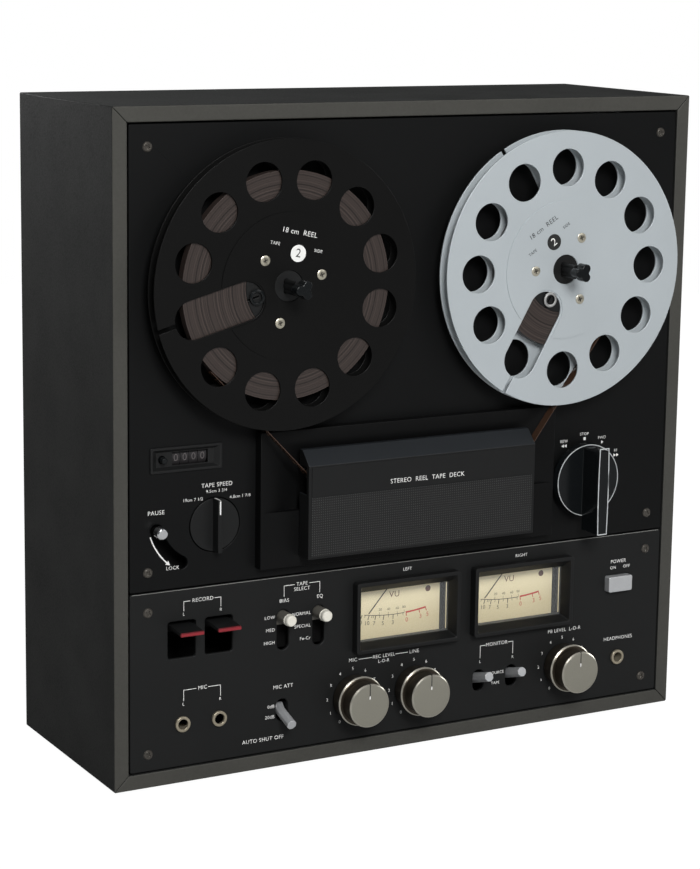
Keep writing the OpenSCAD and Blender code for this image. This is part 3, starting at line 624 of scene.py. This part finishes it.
def build_function_knob():
    """The knob's plain node with a bright rim and a bright outline on the bar."""
    softened("function_knob", GLOSS, 0.4, segments=3)
    low, high = extent("function_knob")
    x = middle("function_knob").x
    rim = bmesh.new()
    profile = [(23.9, -7.7), (24.1, -8.1), (23.85, -8.4), (23.55, -8.3), (23.5, -7.7)]
    lathed_ring(rim, profile, x, FUNCTION_Z)
    finish_mesh(rim, "function_knob_rim", BRIGHT_LINE, "function_selector")
    half, line, inset, thickness = 4.2, 0.65, 0.05, 0.5
    face = low.y - 0.12
    outline = bmesh.new()
    inner = bulged(x, low.z + line, high.z - line, half - line)
    outer = bulged(x, low.z + inset, high.z - inset, half - inset)
    for k in range(len(outer)):
        after = (k + 1) % len(outer)
        prism(outline, [outer[k], outer[after], inner[after], inner[k]], face, face + thickness)
    weld(outline)
    finish_mesh(outline, "function_knob_outline", BRIGHT_LINE, "function_selector")


def bulged(x, low, high, half):
    """Outline of a bar a little narrower at its ends than at its middle."""
    narrowing = 0.45
    steps = 8
    right = []
    for k in range(steps + 1):
        t = k / steps
        right.append((x + half - narrowing * (2 * t - 1) ** 2, low + (high - low) * t))
    return right + [(2 * x - px, pz) for px, pz in right[::-1]]


def build_pause_lever():
    """Bright cap on an arm hidden in the curved slot, darkened with painted shade."""
    # The arm behind the cap takes the painted shade black.
    piece = softened("pause_lever", [PAINTED_SHADE_BLACK, CHROME], 0.25)
    arm_front = place(0, -2.9, 0).y
    second_look(piece, lambda face: face.center.y < arm_front)


def build_speed_mark():
    """A white line down the knob's bar and over its end."""
    low, high = extent("speed_knob")
    x = middle("speed_knob").x
    width, length = 0.9, 9
    mark = bmesh.new()
    bar(mark, (x, high.z - length), (x, high.z - 0.6), width, low.y - 0.08, low.y + 0.2)
    bar(mark, (x, high.z - 0.5), (x, high.z + 0.02), width, low.y + 0.2, 0.2)
    finish_mesh(mark, "speed_knob_mark", PRINT, "speed_selector")


def cover_plate(name, material, z0, z1, proud, round_by, segments):
    """A plate on the head cover's front, inside its side walls."""
    low, high = extent("head_cover")
    margin, sunk = 2, 0.3
    plate = bmesh.new()
    corners = [(low.x + margin, z0), (high.x - margin, z0), (high.x - margin, z1), (low.x + margin, z1)]
    prism(plate, corners, low.y - proud, low.y + sunk)
    bmesh.ops.bevel(plate, geom=plate.edges, offset=round_by * MM, segments=segments, affect="EDGES")
    finish_mesh(plate, name, material, "cover")


def build_head_cover_front():
    """The perforated plate, and the nameplate with its generic words."""
    low, high = extent("head_cover")
    plate_low, plate_high, words_z = 177.5, 196.2, 182.4
    cover_plate("head_cover_grille", GRILLE, low.z + 1.5, plate_low - 0.6, 0.25, 0.12, 1)
    cover_plate("head_cover_nameplate", BLACK, plate_low, plate_high, 0.3, 0.2, 2)
    words_x = (low.x + high.x) / 2 + 2
    lettering("head_cover_words", PRINT, [("STEREO  REEL  TAPE  DECK", words_x, words_z, 3, "CENTER", 0)],
              low.y - 0.34, "cover")


# ---- Reels ----

LABEL_RADIUS = 45
LABEL_EYE = 9.7
SLOT_START = 29.7         # centre of the slot's round end, from the reel's axis
SLOT_HALF = 13.2
LABEL_RISE = 0.45         # how far the label plate stands before the flange


def keyhole(x, z, radius, slot_angle, start, half):
    """Outline of a disc with a round-ended slot cut in from its edge along slot_angle."""
    a = math.radians(slot_angle)
    along = Vector((math.cos(a), math.sin(a)))
    side = Vector((-along.y, along.x))
    spread = math.degrees(math.asin(half / radius))
    points = arc_points(x, z, radius, slot_angle + spread, slot_angle + 360 - spread, 120)
    steps = 24
    for k in range(steps + 1):
        t = math.radians(-90 - 180 * k / steps)
        at = along * (start + half * math.cos(t)) + side * half * math.sin(t)
        points.append((x + at.x, z + at.y))
    return points


def plate_with_eye(bm, outline, eye, y0, y1):
    """A flat plate of any outline with one hole."""
    edges = []
    for loop in (outline, eye):
        verts = [bm.verts.new(place(x, y0, z)) for x, z in loop]
        edges += [bm.edges.new((verts[k], verts[(k + 1) % len(verts)])) for k in range(len(verts))]
    bmesh.ops.triangle_fill(bm, use_beauty=True, edges=edges)
    grown = bmesh.ops.extrude_face_region(bm, geom=bm.faces[:])
    moved = [v for v in grown["geom"] if isinstance(v, bmesh.types.BMVert)]
    bmesh.ops.translate(bm, verts=moved, vec=Vector((0, (y1 - y0) * MM, 0)))


def around(x, z, radius, degrees):
    """A point at a distance and an angle from (x, z)."""
    angle = math.radians(degrees)
    return x + radius * math.cos(angle), z + radius * math.sin(angle)


def reel_screws(which, body, x, z, face, slot_angle):
    """Three cross-head screws round the hub."""
    screws = bmesh.new()
    cross_reach, cross_width = 1.7, 0.55
    head = [(0, face + 0.3), (3.2, face + 0.3), (3.2, face - 0.25), (2.8, face - 0.5), (1.5, face - 0.55),
            (1.1, face - 0.15), (0, face - 0.1)]
    for k in range(3):
        sx, sz = around(x, z, 23, slot_angle - 60 + 120 * k)
        lathe(screws, head, sx, sz, 28)
        for turn in (20, 110):
            ends = [around(sx, sz, -cross_reach, turn), around(sx, sz, cross_reach, turn)]
            bar(screws, *ends, cross_width, face - 0.58, face - 0.2, 1)
    finish_mesh(screws, which + "_reel_screws", [BRASS, SCREW], body)


def reel_words(which, body, ink, x, z, face, slot_angle):
    """A disc with the side's number, and generic words in place of the maker's."""
    disc = bmesh.new()
    disc_radius = 5.2
    dx, dz = around(x, z, 20.5, slot_angle - 122)
    lathe(disc, [(0, face - 0.06), (disc_radius, face - 0.06), (disc_radius, face + 0.05)], dx, dz, 40)
    finish_mesh(disc, which + "_reel_disc", ink, body)
    number_ink = PRINT if ink is BLACK_PRINT else BLACK_PRINT
    turn = slot_angle - 207
    lettering(which + "_reel_number", number_ink, [("2", dx, dz, 5.4, "CENTER", turn)], face - 0.09, body)
    up = Vector((-math.sin(math.radians(turn)), math.cos(math.radians(turn))))
    across = Vector((up.y, -up.x))
    words = []
    for text, along, rise, height in (("18 cm  REEL", 0, 33, 3.2), ("TAPE", -15, 24, 2), ("SIDE", 15, 24, 2)):
        at = Vector((x, z)) + across * along + up * rise
        words.append((text, at.x, at.y, height, "CENTER", turn))
    lettering(which + "_reel_words", ink, words, face - 0.03, body)


def build_reel_details(which, body, skin, ink, slot_angle):
    """The raised label plate with its screws and words, and the hub's threading eye."""
    x, z = middle(which + "_front_flange").x, middle(which + "_front_flange").z
    flange = extent(which + "_front_flange")[0].y
    face = flange - LABEL_RISE
    plate = bmesh.new()
    plate_with_eye(plate, keyhole(x, z, LABEL_RADIUS, slot_angle, SLOT_START, SLOT_HALF),
                   arc_points(x, z, LABEL_EYE, 0, 355, 71), face, flange + 0.05)
    finish_mesh(plate, which + "_label_plate", skin, body)
    reel_screws(which, body, x, z, face, slot_angle)
    reel_words(which, body, ink, x, z, face, slot_angle)
    eye = bmesh.new()
    hub = extent(which + "_hub")[0].y
    profile = [(3.2, hub + 0.1), (3.2, hub - 0.4), (3.9, hub - 0.6), (4.9, hub - 0.3), (5, hub + 0.1)]
    lathed_ring(eye, profile, *around(x, z, 22, slot_angle), 40)
    finish_mesh(eye, which + "_hub_eye", GLOSS if which == "supply" else STEEL, body)


# ---- Counter ----

def build_counter():
    """A nought on each number wheel."""
    gap = 0.4
    for node, body, count in [("counter_wheels", "deck", 3), ("counter_units_wheel", "counter_units", 1)]:
        low, high = extent(node)
        pitch = (high.x - low.x + gap) / count
        z = middle(node).z
        entries = [("0", low.x + pitch * (k + 0.5) - gap / 2, z, 4.6, "CENTER", 0) for k in range(count)]
        lettering(node + "_numbers", FAINT_PRINT, entries, low.y - 0.02, body, 0.04)


# ---- Switches ----

def build_slide_caps():
    """Cream caps and grey collars on the two slide levers."""
    cap_length = 4.05
    for node in ("bias_lever", "eq_lever"):
        piece = softened(node, [COLLAR, CREAM], 0.35, segments=3)
        cap_back = place(0, extent(node)[0].y + cap_length, 0).y
        second_look(piece, lambda face: face.center.y < cap_back)


def build_record_tips():
    """Red tips across the front edges of the two record levers."""
    top, height, overhang = 100.2, 2.3, 0.05
    for side in ("left", "right"):
        low, high = extent("record_lever_" + side)
        x0, x1 = low.x - overhang, high.x + overhang
        tip = bmesh.new()
        prism(tip, [(x0, top - height), (x1, top - height), (x1, top), (x0, top)], low.y - 0.12, low.y + 1.2)
        bmesh.ops.bevel(tip, geom=tip.edges, offset=0.3 * MM, segments=2, affect="EDGES")
        finish_mesh(tip, "record_tip_" + side, RED_TIP, "record_" + side)


# ---- Level knobs ----

BORE_RADIUS = 3
OUTER_BACK = -0.4         # depths of the backs of the two knobs
INNER_BACK = -12.45


def outer_knob(which, x, z):
    """A flared skirt whose front edge has a bright lip."""
    node = which + "_level_outer_knob"
    low, high = extent(node)
    r, front = (high.x - low.x) / 2, low.y
    ring = bmesh.new()
    lathed_ring(ring, [(BORE_RADIUS, OUTER_BACK), (r - 2.2, OUTER_BACK), (r - 1.5, OUTER_BACK - 0.5),
                       (r - 0.35, front + 2.4), (r - 0.15, front + 1.5)], x, z)
    lip = [(r - 0.15, front + 1.5), (r, front + 1.3), (r, front + 1.0), (r - 0.75, front + 0.3)]
    lathe(ring, lip, x, z, 96, 1)
    lathe(ring, [(r - 0.75, front + 0.3), (r - 1.2, front), (BORE_RADIUS, front), (BORE_RADIUS, OUTER_BACK)],
          x, z, 96)
    weld(ring, WELD)
    piece = finish_mesh(ring, node + "_turned", [SKIRT, LIP], which + "_outer")
    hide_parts(node)


def inner_knob(which, x, z):
    """The front part, with a bright lip, a brushed face and a black line that ends in a white drop."""
    node = which + "_level_inner_knob"
    low, high = extent(node)
    r, front = (high.x - low.x) / 2, low.y
    brushed = ringed(node + "_face", place(x, 0, z), (0.4, 0.385, 0.325), 0.36, 0.9, 14000.0, 0.1, 0.25,
                     0.00006)
    knob = bmesh.new()
    lip = [(r - 0.15, front + 1.4), (r, front + 1.1), (r, front + 0.7), (r - 0.7, front + 0.02),
           (r - 0.9, front)]
    lathe(knob, [(0, INNER_BACK), (r - 1.2, INNER_BACK), (r - 0.5, INNER_BACK - 0.7), lip[0]], x, z)
    lathe(knob, lip, x, z, 96, 1)
    lathe(knob, [(r - 0.9, front), (r * 0.6, front), (r * 0.3, front), (0, front)], x, z, 96, 2)
    weld(knob, WELD)
    piece = finish_mesh(knob, node + "_turned", [SKIRT, LIP, brushed], which + "_inner")
    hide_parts(node)
    drop_low, line_low, width = r * 0.3, r * 0.46, 0.6
    mark = bmesh.new()
    bar(mark, (x, z + line_low), (x, z + r - 0.5), width, front - 0.05, front + 0.2)
    bar(mark, (x, z + r - 0.55), (x, z + r + 0.03), width, front + 0.2, front + 2.5)
    bar(mark, (x, z + drop_low), (x, z + line_low), 0.75, front - 0.05, front + 0.2, 1)
    finish_mesh(mark, node + "_mark", [BLACK_PRINT, PRINT], which + "_inner")


def build_level_knobs():
    """Three pairs of turned knobs, one before the other on the same axis."""
    for which in ("mic", "line", "playback"):
        axis = middle(which + "_level_inner_knob")
        outer_knob(which, axis.x, axis.z)
        inner_knob(which, axis.x, axis.z)


# ---- Meters ----

WINDOW_HALF_W = 33
WINDOW_HALF_H = 16.5
CARD_Y = 10.6
INK_Y = CARD_Y - 0.05
BLACK_MARKS = [("20", -25.8), ("10", -20.6), ("7", -15.6), ("5", -9.6), ("3", -2.7)]
MINOR_MARKS = [-23.4, -18.4, -17.2, -12.6, -6.2, 0.6, 4.6]
RED_MARKS = [("0", 7.0), ("3", 16.6), ("5", 21.5)]
PERCENTS = [("20", -13.2), ("40", -6.5), ("60", 0.3), ("80", 5.6)]


def meter_middle(side):
    windows = extent("meter_windows")
    x = windows[0].x + WINDOW_HALF_W if side == "left" else windows[1].x - WINDOW_HALF_W
    return Vector((x, middle("meter_windows").z))


def on_scale(mid, along, out=0.0):
    """A point of the bowed scale line, moved along its tick's direction."""
    vanishing = mid + Vector((0, 62))
    at = mid + Vector((along, 2 * ((along + 1.3) / 22.9) ** 2 - 3.8))
    return at + (at - vanishing).normalized() * out


def scale_ink(name, material, mid, ends, width, ticks):
    """A scale line from one end to the other with its ticks, each (along, start, end, width)."""
    ink = bmesh.new()
    first, last, steps = ends
    points = [on_scale(mid, first + (last - first) * k / steps) for k in range(steps + 1)]
    for p, q in zip(points, points[1:]):
        bar(ink, p, q, width, INK_Y, CARD_Y)
    for along, start, end, tick_width in ticks:
        bar(ink, on_scale(mid, along, start), on_scale(mid, along, end), tick_width, INK_Y, CARD_Y)
    finish_mesh(ink, name, material)


def scale_numbers(mid, marks, out, height):
    places = [(text, on_scale(mid, along, out)) for text, along in marks]
    return [(text, at.x, at.y, height, "CENTER", 0) for text, at in places]


def meter_card(side, mid):
    """Cream card, a dark strip of painted shade right of it and a painted highlight on the edge of the glass.
    """
    left, right = mid.x - 34.5, mid.x + 32.2
    bottom, top = mid.y - WINDOW_HALF_H - 2.6, mid.y + WINDOW_HALF_H
    paper = dial_paper(side + "_dial_paper", place(0, 0, mid.y - WINDOW_HALF_H).z, place(0, 0, top).z)
    card = bmesh.new()
    prism(card, [(left, bottom), (right, bottom), (right, top), (left, top)], CARD_Y, CARD_Y + 0.6)
    finish_mesh(card, side + "_meter_card", paper)
    # Painted shade: a dark strip for the shaded inner wall of the meter's housing.
    strip = bmesh.new()
    bar(strip, (right + 1.6, bottom), (right + 1.6, top), 3.2, CARD_Y - 2, CARD_Y + 0.6)
    finish_mesh(strip, side + "_meter_painted_shade", PAINTED_SHADE_BLACK)
    # Painted highlight: a pale bar in the card's glowing material for light on the glass's edge.
    edge = bmesh.new()
    edge_x, edge_end = mid.x + 32.5, WINDOW_HALF_H - 1
    bar(edge, (edge_x, mid.y - edge_end), (edge_x, mid.y + edge_end), 0.5, 2.7, 3)
    finish_mesh(edge, side + "_meter_glass_painted_highlight", paper)


def build_meter(side):
    """A card with a shallow bowed scale, behind the needle that hangs from above."""
    mid = meter_middle(side)
    meter_card(side, mid)
    ticks = [(along, 0, 3.1, 0.5) for _, along in BLACK_MARKS]
    ticks += [(along, 0, 1.7, 0.3) for along in MINOR_MARKS]
    ticks += [(along, -2, 0, 0.22) for _, along in PERCENTS]
    scale_ink(side + "_meter_scale", BLACK_PRINT, mid, (-24.2, 5.5, 24), 0.4, ticks)
    red_ticks = [(along, 0, 2.6, 0.55) for _, along in RED_MARKS]
    scale_ink(side + "_meter_red_scale", RED_PRINT, mid, (6.7, 21.8, 14), 1.1, red_ticks)
    numbers = scale_numbers(mid, BLACK_MARKS, 5.4, 2.7) + scale_numbers(mid, PERCENTS, -3.8, 1.7)
    lettering(side + "_meter_numbers", BLACK_PRINT, numbers, INK_Y, raise_by=0.04)
    reds = scale_numbers(mid, RED_MARKS, 5.2, 3)
    lettering(side + "_meter_red_numbers", RED_PRINT, reds, INK_Y, raise_by=0.04)
    unit = [("VU", mid.x - 2, mid.y + 9.6, 4.2, "CENTER", 0)]
    lettering(side + "_meter_unit", BROWN_PRINT, unit, INK_Y, raise_by=0.04)
    lamp = bmesh.new()
    profile = [(0, INK_Y - 0.3), (1.3, INK_Y - 0.25), (2, INK_Y), (2, CARD_Y)]
    lathe(lamp, profile, mid.x + 23.2, mid.y + 10.6, 32)
    finish_mesh(lamp, side + "_meter_lamp", BROWN_PRINT)


# ---- Printed words on the panels ----

TITLE, SMALL, TINY = 2.5, 2.2, 2
INK_FRONT, INK_BACK = PANEL_Y - 0.05, PANEL_Y + 0.1


def word(text, x, z, height=TITLE, align="CENTER"):
    return (text, x, z, height, align, 0)


def print_bar(lines, p, q, width):
    bar(lines, p, q, width, INK_FRONT, INK_BACK)


def bracket(lines, left, right, top, drop, gap):
    """A line over a pair of controls with a gap for its word."""
    mid = (left + right) / 2
    width = 0.35
    for a, b in ((left, mid - gap / 2), (mid + gap / 2, right)):
        print_bar(lines, (a, top), (b, top), width)
    for x in (left, right):
        print_bar(lines, (x, top + width / 2), (x, top - drop), width)


def stereo_pair(words, lines, title, left, right, title_at, letters_at, bracket_at):
    """A title over two controls, L and R above them, and a bracket from one to the other."""
    title_shift, top = title_at
    letter_shift, letter_z = letters_at
    bracket_shift, drop, gap = bracket_at
    words.append(word(title, (left + right) / 2 + title_shift, top))
    for letter, x in (("L", left), ("R", right)):
        words.append(word(letter, x + letter_shift, letter_z, TINY))
    bracket(lines, left + bracket_shift, right + bracket_shift, top, drop, gap)


def record_prints(words, lines):
    """Over the record levers, and over the microphone jacks below them."""
    left, right = middle("record_lever_left").x, middle("record_lever_right").x
    stereo_pair(words, lines, "RECORD", left, right, (1.5, 115.6), (1.2, 107.6), (1.2, 6, 16.5))
    stereo_pair(words, lines, "MIC", left, right, (1.5, 59.2), (1, 50.2), (1.2, 7, 8))
    words.append(word("AUTO SHUT OFF", -106, 19, 2.6))


def tape_select_prints(words, lines):
    """Over and beside the two slide switches and the attenuator."""
    bias, eq = middle("bias_lever"), middle("eq_lever")
    mid, top = (bias.x + eq.x) / 2 + 0.6, 117.4
    words.extend([word("TAPE", mid, top, 2.4), word("SELECT", mid, top - 3.2, 2.4)])
    bracket(lines, bias.x + 0.6, eq.x + 0.6, top, 7, 10.5)
    step, beside = 8.2, 5.6
    for at, title, choices in ((bias, "BIAS", "LOW MED HIGH"), (eq, "EQ", "NORMAL SPECIAL Fe-Cr")):
        words.append(word(title, at.x + 0.8, 107.8, 2.4))
        for k, choice in enumerate(choices.split()):
            words.append(word(choice, at.x - beside, bias.z - step * k + 0.3, SMALL, "RIGHT"))
    x = middle("mic_attenuator_lever").x
    words.extend([word("MIC ATT", x + 0.6, 52), word("0dB", x - 5.4, 39.8, SMALL, "RIGHT"),
                  word("20dB", x - 5.4, 33, SMALL, "RIGHT")])


def monitor_prints(words, lines):
    """Over the monitor switches, and by the power button, the meters and the headphone jack."""
    left, right = middle("monitor_lever_left").x, middle("monitor_lever_right").x
    mid = (left + right) / 2
    stereo_pair(words, lines, "MONITOR", left, right, (1, 59.4), (1, 48.6), (1, 8.4, 17.5))
    words.extend([word("SOURCE", mid + 1.6, 39.4, TINY), word("TAPE", mid + 0.6, 32.4, TINY)])
    words.extend([word("LEFT", -2.6, 118.2, SMALL), word("RIGHT", 84.6, 117.6, SMALL)])
    power = middle("power_button").x
    words.extend([word("POWER", power + 0.5, 104.8), word("ON", power - 3.6, 100.6, SMALL),
                  word("OFF", power + 7.4, 100.6, SMALL), word("HEADPHONES", 164.8, 50.8)])


def level_prints(words, lines):
    """Numbers round the level knobs and titles over them."""
    mic, line, playback = [middle(which + "_level_inner_knob") for which in ("mic", "line", "playback")]
    title_rise, scale_radius, scale_start, scale_step = 24, 18.4, 240, 30
    between, title_z = (mic.x + line.x) / 2, mic.z + title_rise
    words.extend([word("MIC", mic.x, mic.z + title_rise), word("LINE", line.x, line.z + title_rise),
                  word("REC LEVEL", between, title_z, 2.4), word("L-O-R", between, title_z - 3.4, SMALL),
                  word("PB LEVEL  L-O-R", playback.x + 1.5, playback.z + 23.6)])
    for knob in (mic, line, playback):
        for number in range(11):
            x, z = around(knob.x, knob.z, scale_radius, scale_start - scale_step * number)
            words.append(word(str(number), x, z, 2.1))
    print_bar(lines, (mic.x + 4.2, title_z), (between - 8.6, title_z), 0.4)
    print_bar(lines, (between + 8.6, title_z), (line.x - 4.8, title_z), 0.4)


def speed_prints(words):
    """Over the speed knob and the function knob."""
    speed = middle("speed_knob")
    for text, x, z, height in (("TAPE SPEED", 1.4, 24.8, 2.7), ("9.5cm 3 3/4", 1.2, 21, TINY),
                               ("19cm 7 1/2", -14.8, 16.8, TINY), ("4.8cm 1 7/8", 17.2, 16.2, TINY)):
        words.append(word(text, speed.x + x, speed.z + z, height))
    for text, (x, z) in MARKS.items():
        words.append(word(text, x - 0.3, z + 3.1, TINY))


def pause_prints(words, lines):
    """The curved arrow beside the pause lever's slot, from PAUSE to LOCK."""
    words.extend([word("PAUSE", -179.5, 173, 2.7), word("LOCK", -168.5, 137.6, 2.3)])
    x, z, radius = -145.4, 170.9, 40
    start, end, tip_angle, tip_half = 198.3, 227.5, 231.5, 1.5
    arc_band(lines, x, z, radius, 0.8, start, end, INK_FRONT, INK_BACK, 24)
    tip = [around(x, z, radius - tip_half, end), around(x, z, radius + tip_half, end),
           around(x, z, radius, tip_angle)]
    prism(lines, tip, INK_FRONT, INK_BACK)


def build_panel_prints():
    words = []
    lines = bmesh.new()
    record_prints(words, lines)
    tape_select_prints(words, lines)
    monitor_prints(words, lines)
    level_prints(words, lines)
    speed_prints(words)
    pause_prints(words, lines)
    lettering("panel_words", PRINT, words, PANEL_Y - 0.02)
    finish_mesh(lines, "panel_lines", PRINT)


def build_panel_edge():
    """A painted highlight: the bright line where the control panel meets the deck panel."""
    low, high = extent("control_panel")
    z, inset = high.z - 0.25, 1.6
    edge = bmesh.new()
    bar(edge, (low.x + inset, z), (high.x - inset, z), 0.4, low.y - 0.04, low.y + 0.3)
    finish_mesh(edge, "control_panel_painted_highlight", PAINTED_EDGE_HIGHLIGHT, "deck")


MARKS = {"REW": (116, 188.5), "STOP": (132.1, 192.2), "FWD": (146.4, 188.7), "FF": (157.9, 178.8)}


def build_transport_symbols():
    """Rewind, stop, forward and fast forward marks round the function knob."""
    marks = bmesh.new()
    size, apart = 1.15, 1.1
    stop_half_w, stop_half_h = 0.9, 1

    def arrow(x, z, way):
        corners = [(x - way * size * 0.7, z - size), (x + way * size, z), (x - way * size * 0.7, z + size)]
        prism(marks, corners, INK_FRONT, INK_BACK)

    for name, way, shifts in (("REW", -1, (-apart, apart)), ("FWD", 1, (0,)), ("FF", 1, (-apart, apart))):
        x, z = MARKS[name]
        for shift in shifts:
            arrow(x + shift, z, way)
    x, z = MARKS["STOP"]
    left, right, low, high = x - stop_half_w, x + stop_half_w, z - stop_half_h, z + stop_half_h
    prism(marks, [(left, low), (right, low), (right, high), (left, high)], INK_FRONT, INK_BACK)
    finish_mesh(marks, "transport_symbols", PRINT)


# ---- Back ----

def build_back_details():
    """Collars of the signal sockets and the words beside them."""
    tray_floor = 135.5
    columns = (("LINE IN", -136), ("LINE OUT", -112), ("MIC", -88))
    rows = (("R", 42), ("L", 66))
    inner, outer, front = 4.2, 6.6, tray_floor + 2.4
    profile = [(inner, tray_floor + 0.1), (outer, tray_floor + 0.1), (outer, front - 0.6),
               (outer - 0.6, front), (inner, front)]
    collars = bmesh.new()
    for _, x in columns:
        for _, z in rows:
            lathed_ring(collars, profile, x, z, 32)
    finish_mesh(collars, "socket_collars", STEEL, "deck")
    words = [word(title, x, rows[1][1] + 9.2, 2.6) for title, x in columns]
    words += [word(title, columns[0][1] - 12, z, 2.8) for title, z in rows]
    lettering("rear_words", PRINT, words, tray_floor + 0.03, facing_back=True)


# ---- Camera, lights and floor ----

CAMERA_AT = (-757.5, -1280.6, 505.7)
CAMERA_AZIMUTH = 29.02
CAMERA_PITCH = -10.284
CAMERA_ROLL = 0.808
AIM = (0, 0, 0.2)
# Each light: name, metres from the deck, width and height, watts.
LIGHTS = [
    ("key", (-0.55, -2.2, 1.5), (1.0, 0.8), 58),
    ("fill", (1.7, -2.3, 1.6), (1.4, 1.4), 11),
    ("top", (-0.1, 0.1, 2.2), (1.6, 1.2), 7),
    ("back", (-0.3, 3.0, 0.75), (1.6, 1.0), 60),
    ("right", (3.0, 0.4, 0.9), (1.2, 1.2), 40),
]


def build_camera():
    data = bpy.data.cameras.new("camera")
    data.lens = 98.6
    data.sensor_width = 36
    data.shift_y = -46.5 / 869
    camera = new_object("camera", data)
    turn = turned(-CAMERA_AZIMUTH, "Z")
    tilt = turned(90 + CAMERA_PITCH, "X")
    twist = turned(CAMERA_ROLL, "Z")
    camera.matrix_world = Matrix.Translation(place(*CAMERA_AT)) @ turn @ tilt @ twist
    bpy.context.scene.camera = camera


def area_light(name, location, size, power):
    data = bpy.data.lights.new(name, "AREA")
    data.shape = "RECTANGLE"
    data.size, data.size_y = size
    data.energy = power
    light = new_object(name, data)
    light.location = location
    light.rotation_euler = (Vector(AIM) - Vector(location)).to_track_quat("-Z", "Y").to_euler()


def pale_floor():
    """Plain pale ground that looks evenly lit and keeps only a faint contact shadow."""
    material, tree, shader = new_material("floor_pale")
    mottle = add(tree, "TexNoise", Scale=3.0, Detail=2.0)
    shades = two_tone(tree, mottle.outputs["Fac"], (0.5, 0.5, 0.5), (0.52, 0.52, 0.52))
    link(shades, shader.inputs["Base Color"])
    preset(shader, {"Roughness": 0.9, "Specular IOR Level": 0.1})
    glow = add(tree, "Emission", Color=(1, 1, 1, 1), Strength=1.14)
    seen = add(tree, "LightPath")
    share = add(tree, "Math", operation="MULTIPLY")
    share.inputs[1].default_value = 0.87
    mix = add(tree, "MixShader")
    link(seen.outputs["Is Camera Ray"], share.inputs[0])
    link(share.outputs[0], mix.inputs["Fac"])
    link(shader.outputs["BSDF"], mix.inputs[1])
    link(glow.outputs["Emission"], mix.inputs[2])
    link(mix.outputs["Shader"], tree.nodes["Material Output"].inputs["Surface"])
    return material


def build_floor():
    disc = bmesh.new()
    bmesh.ops.create_circle(disc, cap_ends=True, segments=96, radius=2.2)
    mesh = bpy.data.meshes.new("floor")
    disc.to_mesh(mesh)
    disc.free()
    piece = new_object("floor", mesh)
    mesh.materials.append(pale_floor())


def build_world():
    """A studio that lights the deck dimly and shows plain white behind it."""
    world = bpy.data.worlds.new("studio")
    bpy.context.scene.world = world
    world.use_nodes = True
    tree = world.node_tree
    dim = tree.nodes["Background"]
    preset(dim, {"Color": (0.95, 0.97, 1, 1), "Strength": 0.12})
    bright = add(tree, "Background", Color=(1, 1, 1, 1), Strength=1.0)
    seen = add(tree, "LightPath")
    mix = add(tree, "MixShader")
    link(seen.outputs["Is Camera Ray"], mix.inputs["Fac"])
    link(dim.outputs["Background"], mix.inputs[1])
    link(bright.outputs["Background"], mix.inputs[2])
    link(mix.outputs["Shader"], tree.nodes["World Output"].inputs["Surface"])


def build_stage():
    build_floor()
    build_world()
    for light in LIGHTS:
        area_light(*light)
    view = bpy.context.scene.view_settings
    view.view_transform = "Standard"
    view.look = "None"


build_camera()
build_stage()
build_case()
build_plain_nodes()
build_rounded_nodes()
build_function_knob()
build_pause_lever()
build_speed_mark()
build_head_cover_front()
build_reel_details("supply", "supply_reel", BLACK_REEL, PRINT, 195)
build_reel_details("takeup", "takeup_reel", SILVER_REEL, BLACK_PRINT, 240)
build_counter()
build_slide_caps()
build_record_tips()
build_level_knobs()
build_meter("left")
build_meter("right")
build_panel_prints()
build_panel_edge()
build_transport_symbols()
build_back_details()
